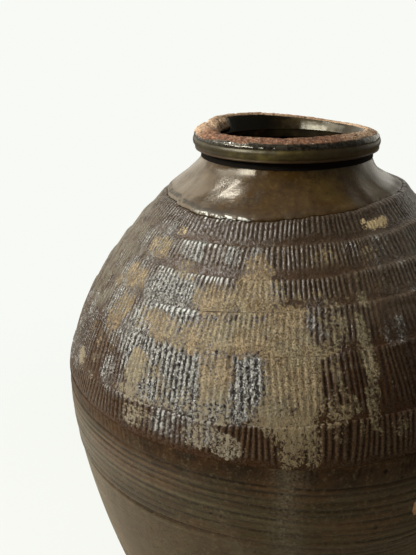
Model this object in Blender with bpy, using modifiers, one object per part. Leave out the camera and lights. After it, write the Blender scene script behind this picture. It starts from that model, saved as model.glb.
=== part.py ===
"""Rice wine jar: a coiled and paddled stoneware storage jar.

Metres, +Z up, origin at the middle of the flat base. The jar is built up as a potter builds it: a
base slab, wall rings, paddled courses, a smooth cone, a collar and a rolled mouth coil, each one a
ring of clay lapped and luted on the ring below it.
"""

import bpy
from math import atan2, copysign, hypot, pi, sin

# Body sizes
BELLY_RADIUS = 0.210
BELLY_HEIGHT = 0.272
FOOT_RADIUS = 0.145
WALL = 0.010

# Heights of the rings, from the base up; the courses are listed from the uppermost down
BASE_THICKNESS = 0.014
FOOT_WALL_HEIGHT = 0.0895
LOWER_WALL_HEIGHT = 0.102
BELLY_WALL_HEIGHT = 0.078
COURSE_HEIGHTS = (0.016, 0.020, 0.0185, 0.028, 0.047, 0.0295)
CONE_HEIGHT = 0.0315
COLLAR_HEIGHT = 0.0067
RIM_COIL_HEIGHT = 0.0193

# The cone's lower edge, and the mouth coil with the collar set back under it
CONE_EDGE_RADIUS = 0.1105
RIM_BAND_RADIUS = 0.0842
RIM_OVERHANG = 0.0067
RIM_COIL_WIDTH = 0.0177
RIM_CREST_INSET = 0.0107

# How the three spans of the body curve away from a straight line
CONE_POWER_SHARE = 1.45
SHOULDER_POWER_SHARE = 1.85
FOOT_POWER_SHARE = 1.72

# Section of the rolled mouth coil
RIM_CREST_DROP = 0.0008
RIM_INNER_DROP = 0.0035
RIM_SIDE_DROP = 0.0060
RIM_BAND_DROP = 0.0105
RIM_LIP_HEIGHT = 0.0025
RIM_LIP_INSET = 0.0012
RIM_SIDE_INSET = 0.0020
RIM_SHOULDER_INSET = 0.0055

# Joints between the rings
LUTING_GAP = 0.0003
JOINT_LAP = 0.005

# Relief of the outer skin
COURSE_SWELLS = (0.0022, 0.0025, 0.0022, 0.0022, 0.0020, 0.0014)
COURSE_EDGE_ROUND = 0.0010
CONE_BEAD = 0.0018
CONE_BEAD_HEIGHT = 0.0060
TURNED_GROOVE_DEPTH = 0.0012
TURNED_GROOVE_WIDTH = 0.0044
TURNED_GROOVE_DROPS = (0.018, 0.031, 0.058)
DEEP_GROOVE_DEPTH = 0.0026
DEEP_GROOVE_WIDTH = 0.0060
HEEL_ROUND = 0.0045

# Hand-made lean of the courses and warp of the mouth, as heights gained at the far side
SHOULDER_LEAN = 0.0045
GROOVE_LEAN = 0.0070
MOUTH_LEAN = 0.0024
MOUTH_TWIST = 0.0022

SIDES = 48

# Where the rings meet
LOWER_WALL_FOOT = BASE_THICKNESS + FOOT_WALL_HEIGHT
BELLY_WALL_FOOT = LOWER_WALL_FOOT + LOWER_WALL_HEIGHT
COURSES_FOOT = BELLY_WALL_FOOT + BELLY_WALL_HEIGHT
CONE_FOOT = COURSES_FOOT + sum(COURSE_HEIGHTS)
COLLAR_FOOT = CONE_FOOT + CONE_HEIGHT
RIM_COIL_FOOT = COLLAR_FOOT + COLLAR_HEIGHT
JAR_HEIGHT = RIM_COIL_FOOT + RIM_COIL_HEIGHT

# Radii that follow the mouth coil
COLLAR_RADIUS = RIM_BAND_RADIUS - RIM_OVERHANG
MOUTH_RADIUS = RIM_BAND_RADIUS - RIM_COIL_WIDTH
RIM_CREST_RADIUS = RIM_BAND_RADIUS - RIM_CREST_INSET

# Colour and roughness of each finish
FINISHES = {
    "bare_clay": ((0.245, 0.118, 0.070), 0.85),
    "olive_glaze": ((0.062, 0.048, 0.022), 0.22),
    "brown_glaze": ((0.074, 0.046, 0.028), 0.25),
    "ribbed_glaze": ((0.080, 0.058, 0.042), 0.42),
    "wall_glaze": ((0.085, 0.064, 0.040), 0.38),
}


def clear_scene():
    for old in list(bpy.data.objects):
        bpy.data.objects.remove(old, do_unlink=True)


def make_material(name):
    colour, roughness = FINISHES[name]
    material = bpy.data.materials.new(name)
    material.use_nodes = True
    shader = material.node_tree.nodes["Principled BSDF"]
    shader.inputs["Base Color"].default_value = (*colour, 1.0)
    shader.inputs["Roughness"].default_value = roughness
    shader.inputs["Metallic"].default_value = 0.0
    return material


def spread(start, end, count):
    """Evenly spaced heights from start to end, both included."""
    return [start + (end - start) * step / (count - 1) for step in range(count)]


# Body curve: the smooth outer skin, without steps or grooves

def body_radius(height):
    if height > CONE_FOOT:
        left = max(COLLAR_FOOT - height, 0.0) / CONE_HEIGHT
        return COLLAR_RADIUS + (CONE_EDGE_RADIUS - COLLAR_RADIUS) * left ** CONE_POWER_SHARE
    if height > BELLY_HEIGHT:
        rise = (height - BELLY_HEIGHT) / (CONE_FOOT - BELLY_HEIGHT)
        return BELLY_RADIUS - (BELLY_RADIUS - CONE_EDGE_RADIUS) * rise ** SHOULDER_POWER_SHARE
    drop = (BELLY_HEIGHT - height) / BELLY_HEIGHT
    return BELLY_RADIUS - (BELLY_RADIUS - FOOT_RADIUS) * drop ** FOOT_POWER_SHARE


def wall_point(height, inset):
    """Point of the wall at a height of the skin, moved inward square to the skin."""
    step = WALL / 4
    slope = (body_radius(height + step) - body_radius(height - step)) / (2 * step)
    length = hypot(1, slope)
    return (body_radius(height) - inset / length, height + inset * slope / length)


def inner_run(low, high, count):
    """Inner face of a ring, from its foot up."""
    return [wall_point(height, WALL) for height in spread(low, high, count)]


def foot_joint(height, lap):
    """Lower end of a ring: outer half at the joint, inner half one lap further down."""
    seat = height + LUTING_GAP / 2
    middle = (WALL + copysign(LUTING_GAP, lap)) / 2
    return [wall_point(seat, middle), wall_point(seat - lap, middle), wall_point(seat - lap, WALL)]


def head_joint(height, lap):
    """Upper end of a ring: inner half one lap down, then the outer half's flat top."""
    seat = height - LUTING_GAP / 2
    middle = (WALL - copysign(LUTING_GAP, lap)) / 2
    return [wall_point(seat - lap, WALL), wall_point(seat - lap, middle), wall_point(seat, middle)]


# Outer skins, each from the top of its ring to its foot

def course_skin(head, foot, swell):
    """A paddled course swells out at its upper edge and runs back in to the joint below it."""
    seat = head - LUTING_GAP / 2
    end = foot + LUTING_GAP / 2
    points = [wall_point(seat, COURSE_EDGE_ROUND - swell)]
    for height in spread(seat - COURSE_EDGE_ROUND, end, 4):
        share = (seat - height) / (seat - end)
        points.append(wall_point(height, -swell * (1 - share * share)))
    return points


def cone_skin():
    """The smooth cone ends below in a rounded bead that stands over the first course."""
    seat = COLLAR_FOOT - LUTING_GAP / 2
    end = CONE_FOOT + LUTING_GAP / 2
    bead_top = end + CONE_BEAD_HEIGHT
    points = [wall_point(height, 0.0) for height in spread(seat, bead_top, 6)]
    points.append(wall_point(end + CONE_BEAD_HEIGHT / 2, -CONE_BEAD))
    points.append(wall_point(end + CONE_BEAD_HEIGHT / 8, -CONE_BEAD))
    points.append(wall_point(end, -CONE_BEAD / 2))
    return points


def belly_skin():
    """Turned grooves run round the wall, and a deep one lies at the joint below it."""
    seat = COURSES_FOOT - LUTING_GAP / 2
    end = BELLY_WALL_FOOT + LUTING_GAP / 2
    points = [wall_point(seat, 0.0)]
    for drop in TURNED_GROOVE_DROPS:
        middle = COURSES_FOOT - drop
        points.append(wall_point(middle + TURNED_GROOVE_WIDTH / 2, 0.0))
        points.append(wall_point(middle, TURNED_GROOVE_DEPTH))
        points.append(wall_point(middle - TURNED_GROOVE_WIDTH / 2, 0.0))
    points.append(wall_point(end + DEEP_GROOVE_WIDTH / 2, 0.0))
    points.append(wall_point(end, DEEP_GROOVE_DEPTH))
    return points


def lower_skin():
    seat = BELLY_WALL_FOOT - LUTING_GAP / 2
    end = LOWER_WALL_FOOT + LUTING_GAP / 2
    lip = seat - DEEP_GROOVE_WIDTH / 2
    smooth = [wall_point(height, 0.0) for height in spread(lip, end, 5)]
    return [wall_point(seat, DEEP_GROOVE_DEPTH)] + smooth


def foot_skin():
    seat = LOWER_WALL_FOOT - LUTING_GAP / 2
    end = BASE_THICKNESS + LUTING_GAP / 2
    return [wall_point(height, 0.0) for height in spread(seat, end, 5)]


# Whole ring profiles: down the outer side, across the foot, up the inner side, across the head

def rim_profile():
    """Rolled coil: a crest that falls outward, a round side band and a thin lip under it."""
    foot = RIM_COIL_FOOT + LUTING_GAP / 2
    tongue = RIM_COIL_FOOT + JOINT_LAP + LUTING_GAP / 2
    middle = COLLAR_RADIUS - (WALL - LUTING_GAP) / 2
    return [
        (RIM_CREST_RADIUS, JAR_HEIGHT),
        ((RIM_CREST_RADIUS + RIM_BAND_RADIUS - RIM_SHOULDER_INSET) / 2, JAR_HEIGHT - RIM_CREST_DROP),
        (RIM_BAND_RADIUS - RIM_SHOULDER_INSET, JAR_HEIGHT - RIM_INNER_DROP),
        (RIM_BAND_RADIUS - RIM_SIDE_INSET, JAR_HEIGHT - RIM_SIDE_DROP),
        (RIM_BAND_RADIUS, JAR_HEIGHT - RIM_BAND_DROP),
        (RIM_BAND_RADIUS - RIM_LIP_INSET, foot + RIM_LIP_HEIGHT),
        (RIM_BAND_RADIUS - RIM_LIP_INSET, foot),
        (middle, foot),
        (middle, tongue),
        (MOUTH_RADIUS, tongue),
        (MOUTH_RADIUS, JAR_HEIGHT - RIM_SIDE_DROP),
        ((MOUTH_RADIUS + RIM_CREST_RADIUS) / 2, JAR_HEIGHT - RIM_CREST_DROP),
    ]


def collar_profile():
    """Short upright neck; its inner half stands up as a tongue inside the mouth coil."""
    top = RIM_COIL_FOOT - LUTING_GAP / 2
    tongue = RIM_COIL_FOOT + JOINT_LAP - LUTING_GAP / 2
    middle = COLLAR_RADIUS - (WALL + LUTING_GAP) / 2
    outer = [(COLLAR_RADIUS, top), wall_point(COLLAR_FOOT + LUTING_GAP / 2, 0.0)]
    inner = [(COLLAR_RADIUS - WALL, tongue), (middle, tongue), (middle, top)]
    return outer + foot_joint(COLLAR_FOOT, -JOINT_LAP) + inner


def wall_profile(skin, head, foot, head_lap, foot_lap, inner_count):
    inner = inner_run(foot - foot_lap + LUTING_GAP / 2, head - head_lap - LUTING_GAP / 2, inner_count)
    return skin + foot_joint(foot, foot_lap) + inner[1:-1] + head_joint(head, head_lap)


def foot_profile():
    """The foot wall stands on the slab, round the slab's raised middle."""
    seat = BASE_THICKNESS + LUTING_GAP / 2
    inner = inner_run(seat, LOWER_WALL_FOOT - JOINT_LAP - LUTING_GAP / 2, 5)
    return foot_skin() + [(inner[0][0], seat)] + inner[1:-1] + head_joint(LOWER_WALL_FOOT, JOINT_LAP)


def slab_profile():
    """Flat slab with a rounded heel and a raised middle that fits inside the foot wall."""
    top = BASE_THICKNESS - LUTING_GAP / 2
    edge = body_radius(top)
    plug = wall_point(BASE_THICKNESS, WALL)[0] - LUTING_GAP
    heel = body_radius(HEEL_ROUND)
    return [
        (0.0, BASE_THICKNESS + JOINT_LAP),
        (plug, BASE_THICKNESS + JOINT_LAP),
        (plug, top),
        (edge, top),
        (heel, HEEL_ROUND),
        (heel - HEEL_ROUND / 3, HEEL_ROUND / 3),
        (heel - HEEL_ROUND, 0.0),
        (0.0, 0.0),
    ]


# Hand-made settling of the turned shape

def lean_at(height):
    """Rise of a level line at the far right side, as a slope, at a height of the wall."""
    keys = [
        (0.0, 0.0),
        (LOWER_WALL_FOOT, 0.0),
        (BELLY_WALL_FOOT, -GROOVE_LEAN / BELLY_RADIUS),
        (COURSES_FOOT, 0.0),
        (CONE_FOOT - sum(COURSE_HEIGHTS[:-1]), SHOULDER_LEAN / CONE_EDGE_RADIUS),
        (CONE_FOOT, SHOULDER_LEAN / CONE_EDGE_RADIUS),
        (COLLAR_FOOT, 0.0),
    ]
    for (low, low_lean), (high, high_lean) in zip(keys, keys[1:]):
        if height <= high:
            share = max(height - low, 0.0) / (high - low)
            return low_lean + (high_lean - low_lean) * share * share * (3 - 2 * share)
    return 0.0


def mouth_rise(x, y, height):
    """The mouth is highest at its back left and lowest at its back right; its foot is level."""
    share = max(height - RIM_COIL_FOOT - JOINT_LAP, 0.0) / (RIM_COIL_HEIGHT - JOINT_LAP)
    angle = atan2(x, -y)
    return share * (MOUTH_TWIST * sin(2 * angle) - MOUTH_LEAN * sin(angle))


def settle(mesh):
    for vertex in mesh.vertices:
        x, y, height = vertex.co
        vertex.co.z = height + x * lean_at(height) + mouth_rise(x, y, height)


def turned(name, points, material, collection, closed=True):
    """Ring or disc: the profile at +X turned once round Z."""
    profile = bpy.data.meshes.new(name + "_profile")
    edges = [(index, index + 1) for index in range(len(points) - 1)]
    if closed:
        edges.append((len(points) - 1, 0))
    profile.from_pydata([(radius, 0.0, height) for radius, height in points], edges, [])
    ring = bpy.data.objects.new(name, profile)
    collection.objects.link(ring)
    screw = ring.modifiers.new("turn", "SCREW")
    screw.axis = "Z"
    screw.angle = 2 * pi
    screw.steps = SIDES
    screw.render_steps = SIDES
    screw.use_merge_vertices = True
    screw.merge_threshold = LUTING_GAP / 10
    bpy.context.view_layer.update()
    graph = bpy.context.evaluated_depsgraph_get()
    mesh = bpy.data.meshes.new_from_object(ring.evaluated_get(graph))
    mesh.name = name
    ring.modifiers.clear()
    ring.data = mesh
    bpy.data.meshes.remove(profile)
    settle(mesh)
    mesh.materials.clear()
    mesh.materials.append(material)
    mesh.shade_smooth()
    mesh.set_sharp_from_angle(angle=pi / 6)
    return ring


def build_jar():
    clear_scene()
    jar = bpy.data.collections.new("rice_wine_jar")
    bpy.context.scene.collection.children.link(jar)

    clay, olive, brown, ribbed, wall = [make_material(name) for name in FINISHES]

    turned("rim_coil", rim_profile(), olive, jar)
    turned("neck_collar", collar_profile(), olive, jar)
    cone = wall_profile(cone_skin(), COLLAR_FOOT, CONE_FOOT, -JOINT_LAP, -JOINT_LAP, 6)
    turned("shoulder_cone", cone, brown, jar)

    head = CONE_FOOT
    head_lap = -JOINT_LAP
    for number, (height, swell) in enumerate(zip(COURSE_HEIGHTS, COURSE_SWELLS), start=1):
        foot = head - height
        course = wall_profile(course_skin(head, foot, swell), head, foot, head_lap, JOINT_LAP, 3)
        turned(f"ribbed_course_{number}", course, ribbed, jar)
        head = foot
        head_lap = JOINT_LAP

    belly = wall_profile(belly_skin(), COURSES_FOOT, BELLY_WALL_FOOT, JOINT_LAP, JOINT_LAP, 4)
    turned("belly_wall", belly, wall, jar)
    lower = wall_profile(lower_skin(), BELLY_WALL_FOOT, LOWER_WALL_FOOT, JOINT_LAP, JOINT_LAP, 5)
    turned("lower_wall", lower, wall, jar)
    turned("foot_wall", foot_profile(), wall, jar)
    turned("base_slab", slab_profile(), clay, jar, closed=False)


build_jar()
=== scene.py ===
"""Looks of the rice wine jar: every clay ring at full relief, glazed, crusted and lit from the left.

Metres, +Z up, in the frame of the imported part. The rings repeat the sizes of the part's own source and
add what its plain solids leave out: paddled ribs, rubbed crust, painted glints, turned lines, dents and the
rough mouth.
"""

from math import cos, pi, radians, sin

import bpy
import numpy as np
from mathutils import Matrix, Vector


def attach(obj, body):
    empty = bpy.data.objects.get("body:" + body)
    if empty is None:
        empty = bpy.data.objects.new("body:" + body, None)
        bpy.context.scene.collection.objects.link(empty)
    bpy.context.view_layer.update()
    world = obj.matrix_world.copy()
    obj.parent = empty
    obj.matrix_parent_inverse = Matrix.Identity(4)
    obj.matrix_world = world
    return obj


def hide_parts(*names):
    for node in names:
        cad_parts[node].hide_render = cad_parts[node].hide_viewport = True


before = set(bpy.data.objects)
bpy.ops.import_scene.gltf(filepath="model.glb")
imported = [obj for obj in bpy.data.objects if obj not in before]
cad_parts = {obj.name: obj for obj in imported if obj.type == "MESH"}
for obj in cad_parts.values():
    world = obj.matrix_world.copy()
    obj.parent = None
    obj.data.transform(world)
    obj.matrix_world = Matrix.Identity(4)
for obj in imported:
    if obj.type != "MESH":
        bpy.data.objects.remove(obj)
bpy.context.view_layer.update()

# Body sizes
BELLY_RADIUS = 0.210
BELLY_HEIGHT = 0.272
FOOT_RADIUS = 0.145
WALL = 0.010

# Heights of the rings, from the base up; the courses are listed from the uppermost down
BASE_THICKNESS = 0.014
FOOT_WALL_HEIGHT = 0.0895
LOWER_WALL_HEIGHT = 0.102
BELLY_WALL_HEIGHT = 0.078
COURSE_HEIGHTS = (0.016, 0.020, 0.0185, 0.028, 0.047, 0.0295)
CONE_HEIGHT = 0.0315
COLLAR_HEIGHT = 0.0067
RIM_COIL_HEIGHT = 0.0193

# The cone's lower edge, and the mouth coil with the collar set back under it
CONE_EDGE_RADIUS = 0.1105
RIM_BAND_RADIUS = 0.0842
RIM_OVERHANG = 0.0067
RIM_COIL_WIDTH = 0.0177
RIM_CREST_INSET = 0.0107

# How the three spans of the body curve away from a straight line
CONE_POWER_SHARE = 1.45
SHOULDER_POWER_SHARE = 1.85
FOOT_POWER_SHARE = 1.72

# Joints between the rings
JOINT_LAP = 0.005
EDGE_ROLL = 0.0025
EDGE_TUCK = 0.0007
LIP_RISE = 0.0007
LIP_DROP = 0.0032
LIP_WIDTH = 0.0026
FLARE_HEIGHT = 0.0040

# Relief of the outer skin
COURSE_SWELLS = (0.0022, 0.0025, 0.0022, 0.0022, 0.0020, 0.0014)
CONE_BEAD = 0.0018
CONE_BEAD_HEIGHT = 0.0060
RIB_DEPTHS = (0.0006, 0.0007, 0.0007, 0.0007, 0.0009, 0.0006)
RIB_COUNTS = (190, 215, 235, 240, 250, 260)
RIB_COLUMNS = 6
CRUST_THICKNESS = 0.0003
# How much of its full swell a course keeps round the jar: the left front is smoothed nearly flush
SWELL_SHARES = {-120: 0.8, -90: 0.65, -55: 0.25, -30: 0.6, 0: 0.75, 35: 1.0, 90: 1.0, 150: 0.8}
# How strongly the ribs stand out round the jar, for the upper courses and for the broad belly course
UPPER_RIB_SHARES = {-120: 1.0, -60: 0.9, 10: 1.0, 35: 0.85, 60: 0.8, 100: 0.95}
BELLY_RIB_SHARES = {-120: 1.0, -60: 0.9, 8: 1.0, 18: 0.85, 32: 0.50, 60: 0.55, 100: 0.9}
HEEL_ROUND = 0.0045
SLAB_BEVEL = 0.0006
SLAB_SINK = 0.0003
# The slab's rows of points that stay sharp
SLAB_CORNERS = (3, 4, 5)
# Baked maps: the empty margin at their sides as a share, and the least step between rows
MAP_MARGIN = 0.002
SMALLEST_STEP = 1e-5

# Hand-made lean of the courses and warp of the mouth, as heights gained at the far side
SHOULDER_LEAN = 0.0045
GROOVE_LEAN = 0.0070
MOUTH_LEAN = 0.0024
MOUTH_TWIST = 0.0022
# The body stands a little to the left under its mouth: height share of the jar and millimetres to the left
AXIS_SHIFT_SHARES = (
    (0.0, 0.0), (0.20, 0.4), (0.38, 1.6), (0.46, 1.4), (0.54, 0.0), (0.60, 0.0),
    (0.68, 1.3), (0.78, 2.8), (0.878, 3.6), (0.915, 2.6), (0.94, 0.0), (1.0, 0.0),
)

# Where the rings meet
LOWER_WALL_FOOT = BASE_THICKNESS + FOOT_WALL_HEIGHT
BELLY_WALL_FOOT = LOWER_WALL_FOOT + LOWER_WALL_HEIGHT
COURSES_FOOT = BELLY_WALL_FOOT + BELLY_WALL_HEIGHT
CONE_FOOT = COURSES_FOOT + sum(COURSE_HEIGHTS)
COLLAR_FOOT = CONE_FOOT + CONE_HEIGHT
RIM_COIL_FOOT = COLLAR_FOOT + COLLAR_HEIGHT
JAR_HEIGHT = RIM_COIL_FOOT + RIM_COIL_HEIGHT
COLLAR_RADIUS = RIM_BAND_RADIUS - RIM_OVERHANG
RIM_CREST_RADIUS = RIM_BAND_RADIUS - RIM_CREST_INSET

# Wander of each joint, read off the photograph: angle from the front in degrees, and millimetres up.
# The first is the cone's lower edge, then the courses' feet, and last the deep groove.
MILLIMETRE = 0.001
CONE_DRIFT_SHARES = {
    -150: 0.5, -100: 2.0, -64: 3.5, -35: -0.5, -13: -1.4, 0: 0.0, 30: 1.6, 58: 3.2, 110: 0.8,
}
COURSE_DRIFT_SHARES = (
    {-120: 0.6, -53: 0.0, -20: -0.4, 10: 0.3, 40: -0.3, 65: 0.4, 130: -0.6},
    {-130: -0.5, -50: 0.3, -10: -0.5, 15: -0.6, 25: 0.9, 60: 0.5, 120: -0.4},
    {-120: -1.0, -60: -3.0, -39: -4.6, -22: -4.2, -5: -0.5, 5: 0.5, 37: 0.3, 100: 0.8},
    {-120: 0.5, -56: -2.6, -36: 0.3, -20: 1.8, -5: -1.4, 16: 0.2, 60: 0.8, 130: -0.9},
    {-130: 0.6, -58: -3.4, -39: 3.8, -15: 0.0, 4: 1.2, 15: 3.4, 45: 0.4, 120: -0.9},
    {-120: 0.5, -60: 0.4, -25: 0.2, 8: -2.5, 30: 0.3, 100: -0.6},
)
GROOVE_DRIFT_SHARES = {
    -120: -1.0, -60: -0.8, -20: 2.4, -5: 3.6, 3: 0.6, 11: -1.5, 26: -5.0, 36: -5.4, 70: -2.5, 130: 0.8,
}

# Patches of crust: middle in degrees, middle height, half width in degrees and half height, both heights
# as shares of the jar's, and how dense the patch is: 1 covers, 0.3 is speckled, below 0 is a few grains.
PATCH_SOFTNESS = 0.0055
CRUST_PATCH_SHARES = (
    (-46.5, 0.834, 4.6, 0.014, 0.5), (-30.0, 0.815, 3.4, 0.012, 0.4), (-40.0, 0.862, 2.0, 0.006, 0.1),
    (-50.5, 0.787, 6.0, 0.012, 0.45), (-55.0, 0.770, 4.0, 0.009, 0.1), (-49.0, 0.733, 3.8, 0.028, 0.35),
    (-56.0, 0.693, 5.0, 0.010, -0.3), (-47.5, 0.694, 2.6, 0.012, 0.0), (-61.0, 0.637, 2.2, 0.012, 0.5),
    (-56.0, 0.650, 6.0, 0.024, -0.5), (-17.5, 0.782, 7.0, 0.020, 1.0), (-5.5, 0.792, 7.5, 0.026, 0.6),
    (-7.0, 0.828, 3.2, 0.010, 0.5), (-2.5, 0.822, 2.4, 0.006, 0.3), (-33.5, 0.745, 5.0, 0.012, 0.6),
    (-26.0, 0.735, 12.0, 0.016, 0.6), (-13.0, 0.740, 8.0, 0.022, 0.8), (-4.0, 0.740, 8.0, 0.024, 0.8),
    (-35.5, 0.673, 3.2, 0.028, 0.7), (-30.5, 0.662, 2.8, 0.020, 0.1), (-25.5, 0.690, 6.0, 0.040, -0.45),
    (-24.0, 0.655, 6.0, 0.014, -0.1), (-14.5, 0.686, 4.0, 0.036, 1.0), (3.0, 0.690, 6.8, 0.090, 1.2),
    (4.0, 0.600, 5.0, 0.036, 0.45), (4.0, 0.765, 5.5, 0.013, 0.8), (12.5, 0.786, 5.5, 0.010, 0.05),
    (13.2, 0.755, 3.2, 0.014, 0.1), (12.5, 0.734, 2.6, 0.010, 0.2), (14.5, 0.715, 4.0, 0.020, -0.3),
    (11.5, 0.680, 3.0, 0.020, 0.1), (13.5, 0.650, 3.5, 0.015, 0.0), (13.5, 0.620, 3.5, 0.016, -0.2),
    (20.6, 0.712, 1.7, 0.042, 1.0), (20.6, 0.650, 1.5, 0.034, 0.4), (22.5, 0.778, 1.2, 0.010, 0.2),
    (23.0, 0.806, 0.7, 0.005, 0.3), (27.5, 0.670, 2.0, 0.010, 0.0), (26.5, 0.612, 2.4, 0.014, -0.1),
    (39.0, 0.866, 5.4, 0.0060, 1.1), (42.5, 0.869, 3.5, 0.0045, 0.9), (33.5, 0.873, 1.2, 0.0035, 0.6),
    (14.0, 0.834, 4.0, 0.008, 0.0), (31.0, 0.832, 3.0, 0.008, -0.05), (-30.0, 0.636, 9.0, 0.010, 0.2),
    (-12.0, 0.640, 9.0, 0.014, 0.0), (-33.5, 0.600, 3.5, 0.018, 0.1), (-16.0, 0.600, 3.6, 0.018, 0.2),
    (-10.5, 0.592, 2.4, 0.018, 0.15), (-15.2, 0.504, 0.9, 0.005, 0.6), (-23.2, 0.518, 0.7, 0.004, 0.5),
    (100.0, 0.770, 7.0, 0.024, 0.8), (108.0, 0.715, 5.0, 0.050, 0.6), (92.0, 0.690, 4.0, 0.045, 0.4),
    (118.0, 0.735, 6.0, 0.018, 0.3), (124.0, 0.670, 3.5, 0.045, 0.5), (101.0, 0.620, 6.0, 0.026, 0.1),
    (146.0, 0.790, 9.0, 0.016, 0.5), (140.0, 0.725, 6.0, 0.034, 0.9), (155.0, 0.700, 7.0, 0.070, 1.0),
    (166.0, 0.735, 6.0, 0.022, 0.4), (147.0, 0.640, 8.0, 0.024, 0.3), (163.0, 0.612, 4.0, 0.034, 0.5),
    (178.0, 0.668, 3.0, 0.040, 0.3), (-168.0, 0.775, 7.0, 0.020, 0.4), (-156.0, 0.690, 6.5, 0.060, 0.9),
    (-143.0, 0.745, 8.0, 0.026, 0.8), (-146.0, 0.650, 5.0, 0.040, 0.4), (-134.0, 0.690, 4.5, 0.050, 0.5),
    (-122.0, 0.720, 5.0, 0.030, 0.3), (-127.0, 0.625, 6.0, 0.028, 0.2), (-112.0, 0.675, 3.5, 0.045, 0.4),
    (-96.0, 0.800, 5.0, 0.018, 0.4), (-86.0, 0.715, 4.0, 0.035, 0.0),
)
# Painted glints along the upper edge of each course: middle and half width in degrees, reach down the ribs
# in millimetres, and strength
EDGE_GLINT_SHARES = (
    (-25.0, 9.5, 2.4, 0.95), (-26.0, 13.0, 3.2, 1.0), (-27.0, 15.0, 4.6, 0.9),
    (-29.0, 8.0, 4.0, 1.0), (-18.0, 6.0, 4.0, 0.6), (-28.0, 12.0, 5.0, 0.35),
)
# Rubbed skin round the crust, grey and with painted glints, in the same columns
WEAR_AND_GLINT_PATCH_SHARES = (
    (-33.0, 0.783, 11.0, 0.030, 1.0), (-28.0, 0.720, 16.0, 0.075, 0.6), (-20.5, 0.686, 6.0, 0.040, 1.0),
    (-7.0, 0.690, 5.0, 0.032, 1.0), (-38.5, 0.715, 3.5, 0.045, 0.9), (-46.0, 0.765, 12.0, 0.070, 0.15),
    (33.0, 0.842, 8.0, 0.010, -0.1), (42.0, 0.812, 12.0, 0.014, 0.0), (37.0, 0.785, 7.0, 0.010, -0.1),
    (29.0, 0.732, 3.0, 0.014, 0.1), (-50.0, 0.840, 10.0, 0.026, 0.10), (-41.0, 0.650, 7.0, 0.030, 0.20),
    (-20.0, 0.650, 18.0, 0.026, 0.8), (-22.0, 0.840, 17.0, 0.010, 0.15), (-7.0, 0.775, 8.0, 0.036, 0.1),
    (12.0, 0.750, 6.0, 0.030, -0.2), (-21.0, 0.602, 8.0, 0.022, 0.2), (-68.0, 0.660, 11.0, 0.070, 0.1),
    (-58.0, 0.790, 9.0, 0.050, -0.1), (120.0, 0.710, 45.0, 0.100, 0.1), (150.0, 0.735, 14.0, 0.040, 0.6),
    (-130.0, 0.690, 40.0, 0.110, 0.1), (-138.0, 0.720, 12.0, 0.050, 0.6),
)

# Every noise on the clay: strength, size of its blots in metres and seed, then how it is squeezed up and
# down (below 1 draws it out) and how many layers it has, both 1 where nothing is said. Strengths are
# millimetres for the joints, degrees for the sides of patches and runs and for the paler clay, metres
# where a height, a depth or a width wanders, and shares elsewhere.
NOISES = {
    "cone edge": (0.8, 0.016, 48), "cone edge bits": (0.5, 0.006, 49),
    "joint": (0.5, 0.03, 50), "patch side": (1.0, 0.021, 401),
    "patch side bits": (0.6, 0.009, 402), "patch top": (0.0026, 0.024, 403),
    "patch top bits": (0.0014, 0.009, 404), "crust edge": (0.62, 0.014, 11, 0.7, 3),
    "crust tongues": (0.36, 0.0060, 21, 0.40, 1), "crust grains": (0.26, 0.0028, 31, 0.8, 1),
    "rib wander": (1.0, 0.055, 100), "rib wander bits": (0.45, 0.018, 101),
    "rib lean": (0.13, 0.045, 102), "rib lean bits": (0.10, 0.014, 103),
    "rib end": (0.10, 0.012, 71, 0.2, 1), "rib strength": (0.22, 0.02, 81, 0.35, 3),
    "calm ribs": (1.0, 0.026, 431, 0.7, 3), "each rib": (1.0, 0.0065, 91, 0.15, 1),
    "course sag": (0.0005, 0.05, 41, 1.0, 3), "course grain": (0.00014, 0.0021, 45),
    "crust relief": (0.2, 0.003, 47), "glint": (0.5, 0.014, 301),
    "cone": (0.0004, 0.034, 61, 1.0, 2), "bead": (0.25, 0.02, 65),
    "run side": (0.7, 0.016, 311, 0.5, 1), "run": (0.45, 0.012, 315, 0.6, 3),
    "chip edge": (0.25, 0.006, 131, 1.0, 3), "rib trace": (1.0, 0.012, 331, 0.2, 1),
    "turned wall": (0.0003, 0.05, 141, 3.0, 3), "line wander": (0.0010, 0.09, 150),
    "line depth": (0.45, 0.05, 160), "broken line": (1.0, 0.045, 321),
    "lit line": (1.0, 0.06, 341), "groove depth": (0.25, 0.08, 170),
    "lower wall": (0.0007, 0.036, 181, 0.22, 3), "foot wall": (0.0006, 0.045, 181, 0.35, 3),
    "glaze drips": (0.012, 0.06, 191, 1.0, 3), "glaze drip bits": (0.006, 0.015, 195),
    "bare clay": (0.00015, 0.003, 197), "slab edge": (0.0003, 0.012, 201, 1.0, 3),
    "coil width": (0.0004, 0.05, 211), "coil width bits": (0.0002, 0.02, 212),
    "coil height": (0.0004, 0.05, 213, 1.0, 3), "lap edge": (0.10, 0.012, 215),
    "glaze edge": (0.0008, 0.012, 221, 0.2, 3), "glaze edge bits": (0.0004, 0.004, 225),
    "inner glaze edge": (0.0006, 0.012, 227), "coil grain": (0.00030, 0.0022, 231),
    "coil bumps": (0.00025, 0.0045, 233), "lap bumps": (1.0, 0.0075, 234),
    "coil holes": (1.0, 0.0030, 235), "coil glaze": (0.00025, 0.012, 241, 1.0, 3),
    "pale clay": (12.0, 0.015, 251),
}


def clean_share(value, low, high):
    """Smooth step from 0 at low to 1 at high."""
    share = np.clip((value - low) / (high - low), 0.0, 1.0)
    return share * share * (3 - 2 * share)


def bump(distance, width):
    """Rounded hill, 1 at the middle."""
    return np.exp(-((distance / width) ** 2))


def ring_angles(columns):
    """Even angles round the jar, 0 at the front."""
    return np.arange(columns) * 2 * pi / columns


def front_turn(angle):
    """The same angles from -pi to pi, 0 at the front."""
    return (angle + pi) % (2 * pi) - pi


def apart(turn, middle):
    """Degrees from a middle, the short way round."""
    return (turn - middle + 180) % 360 - 180


# Noise

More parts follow.
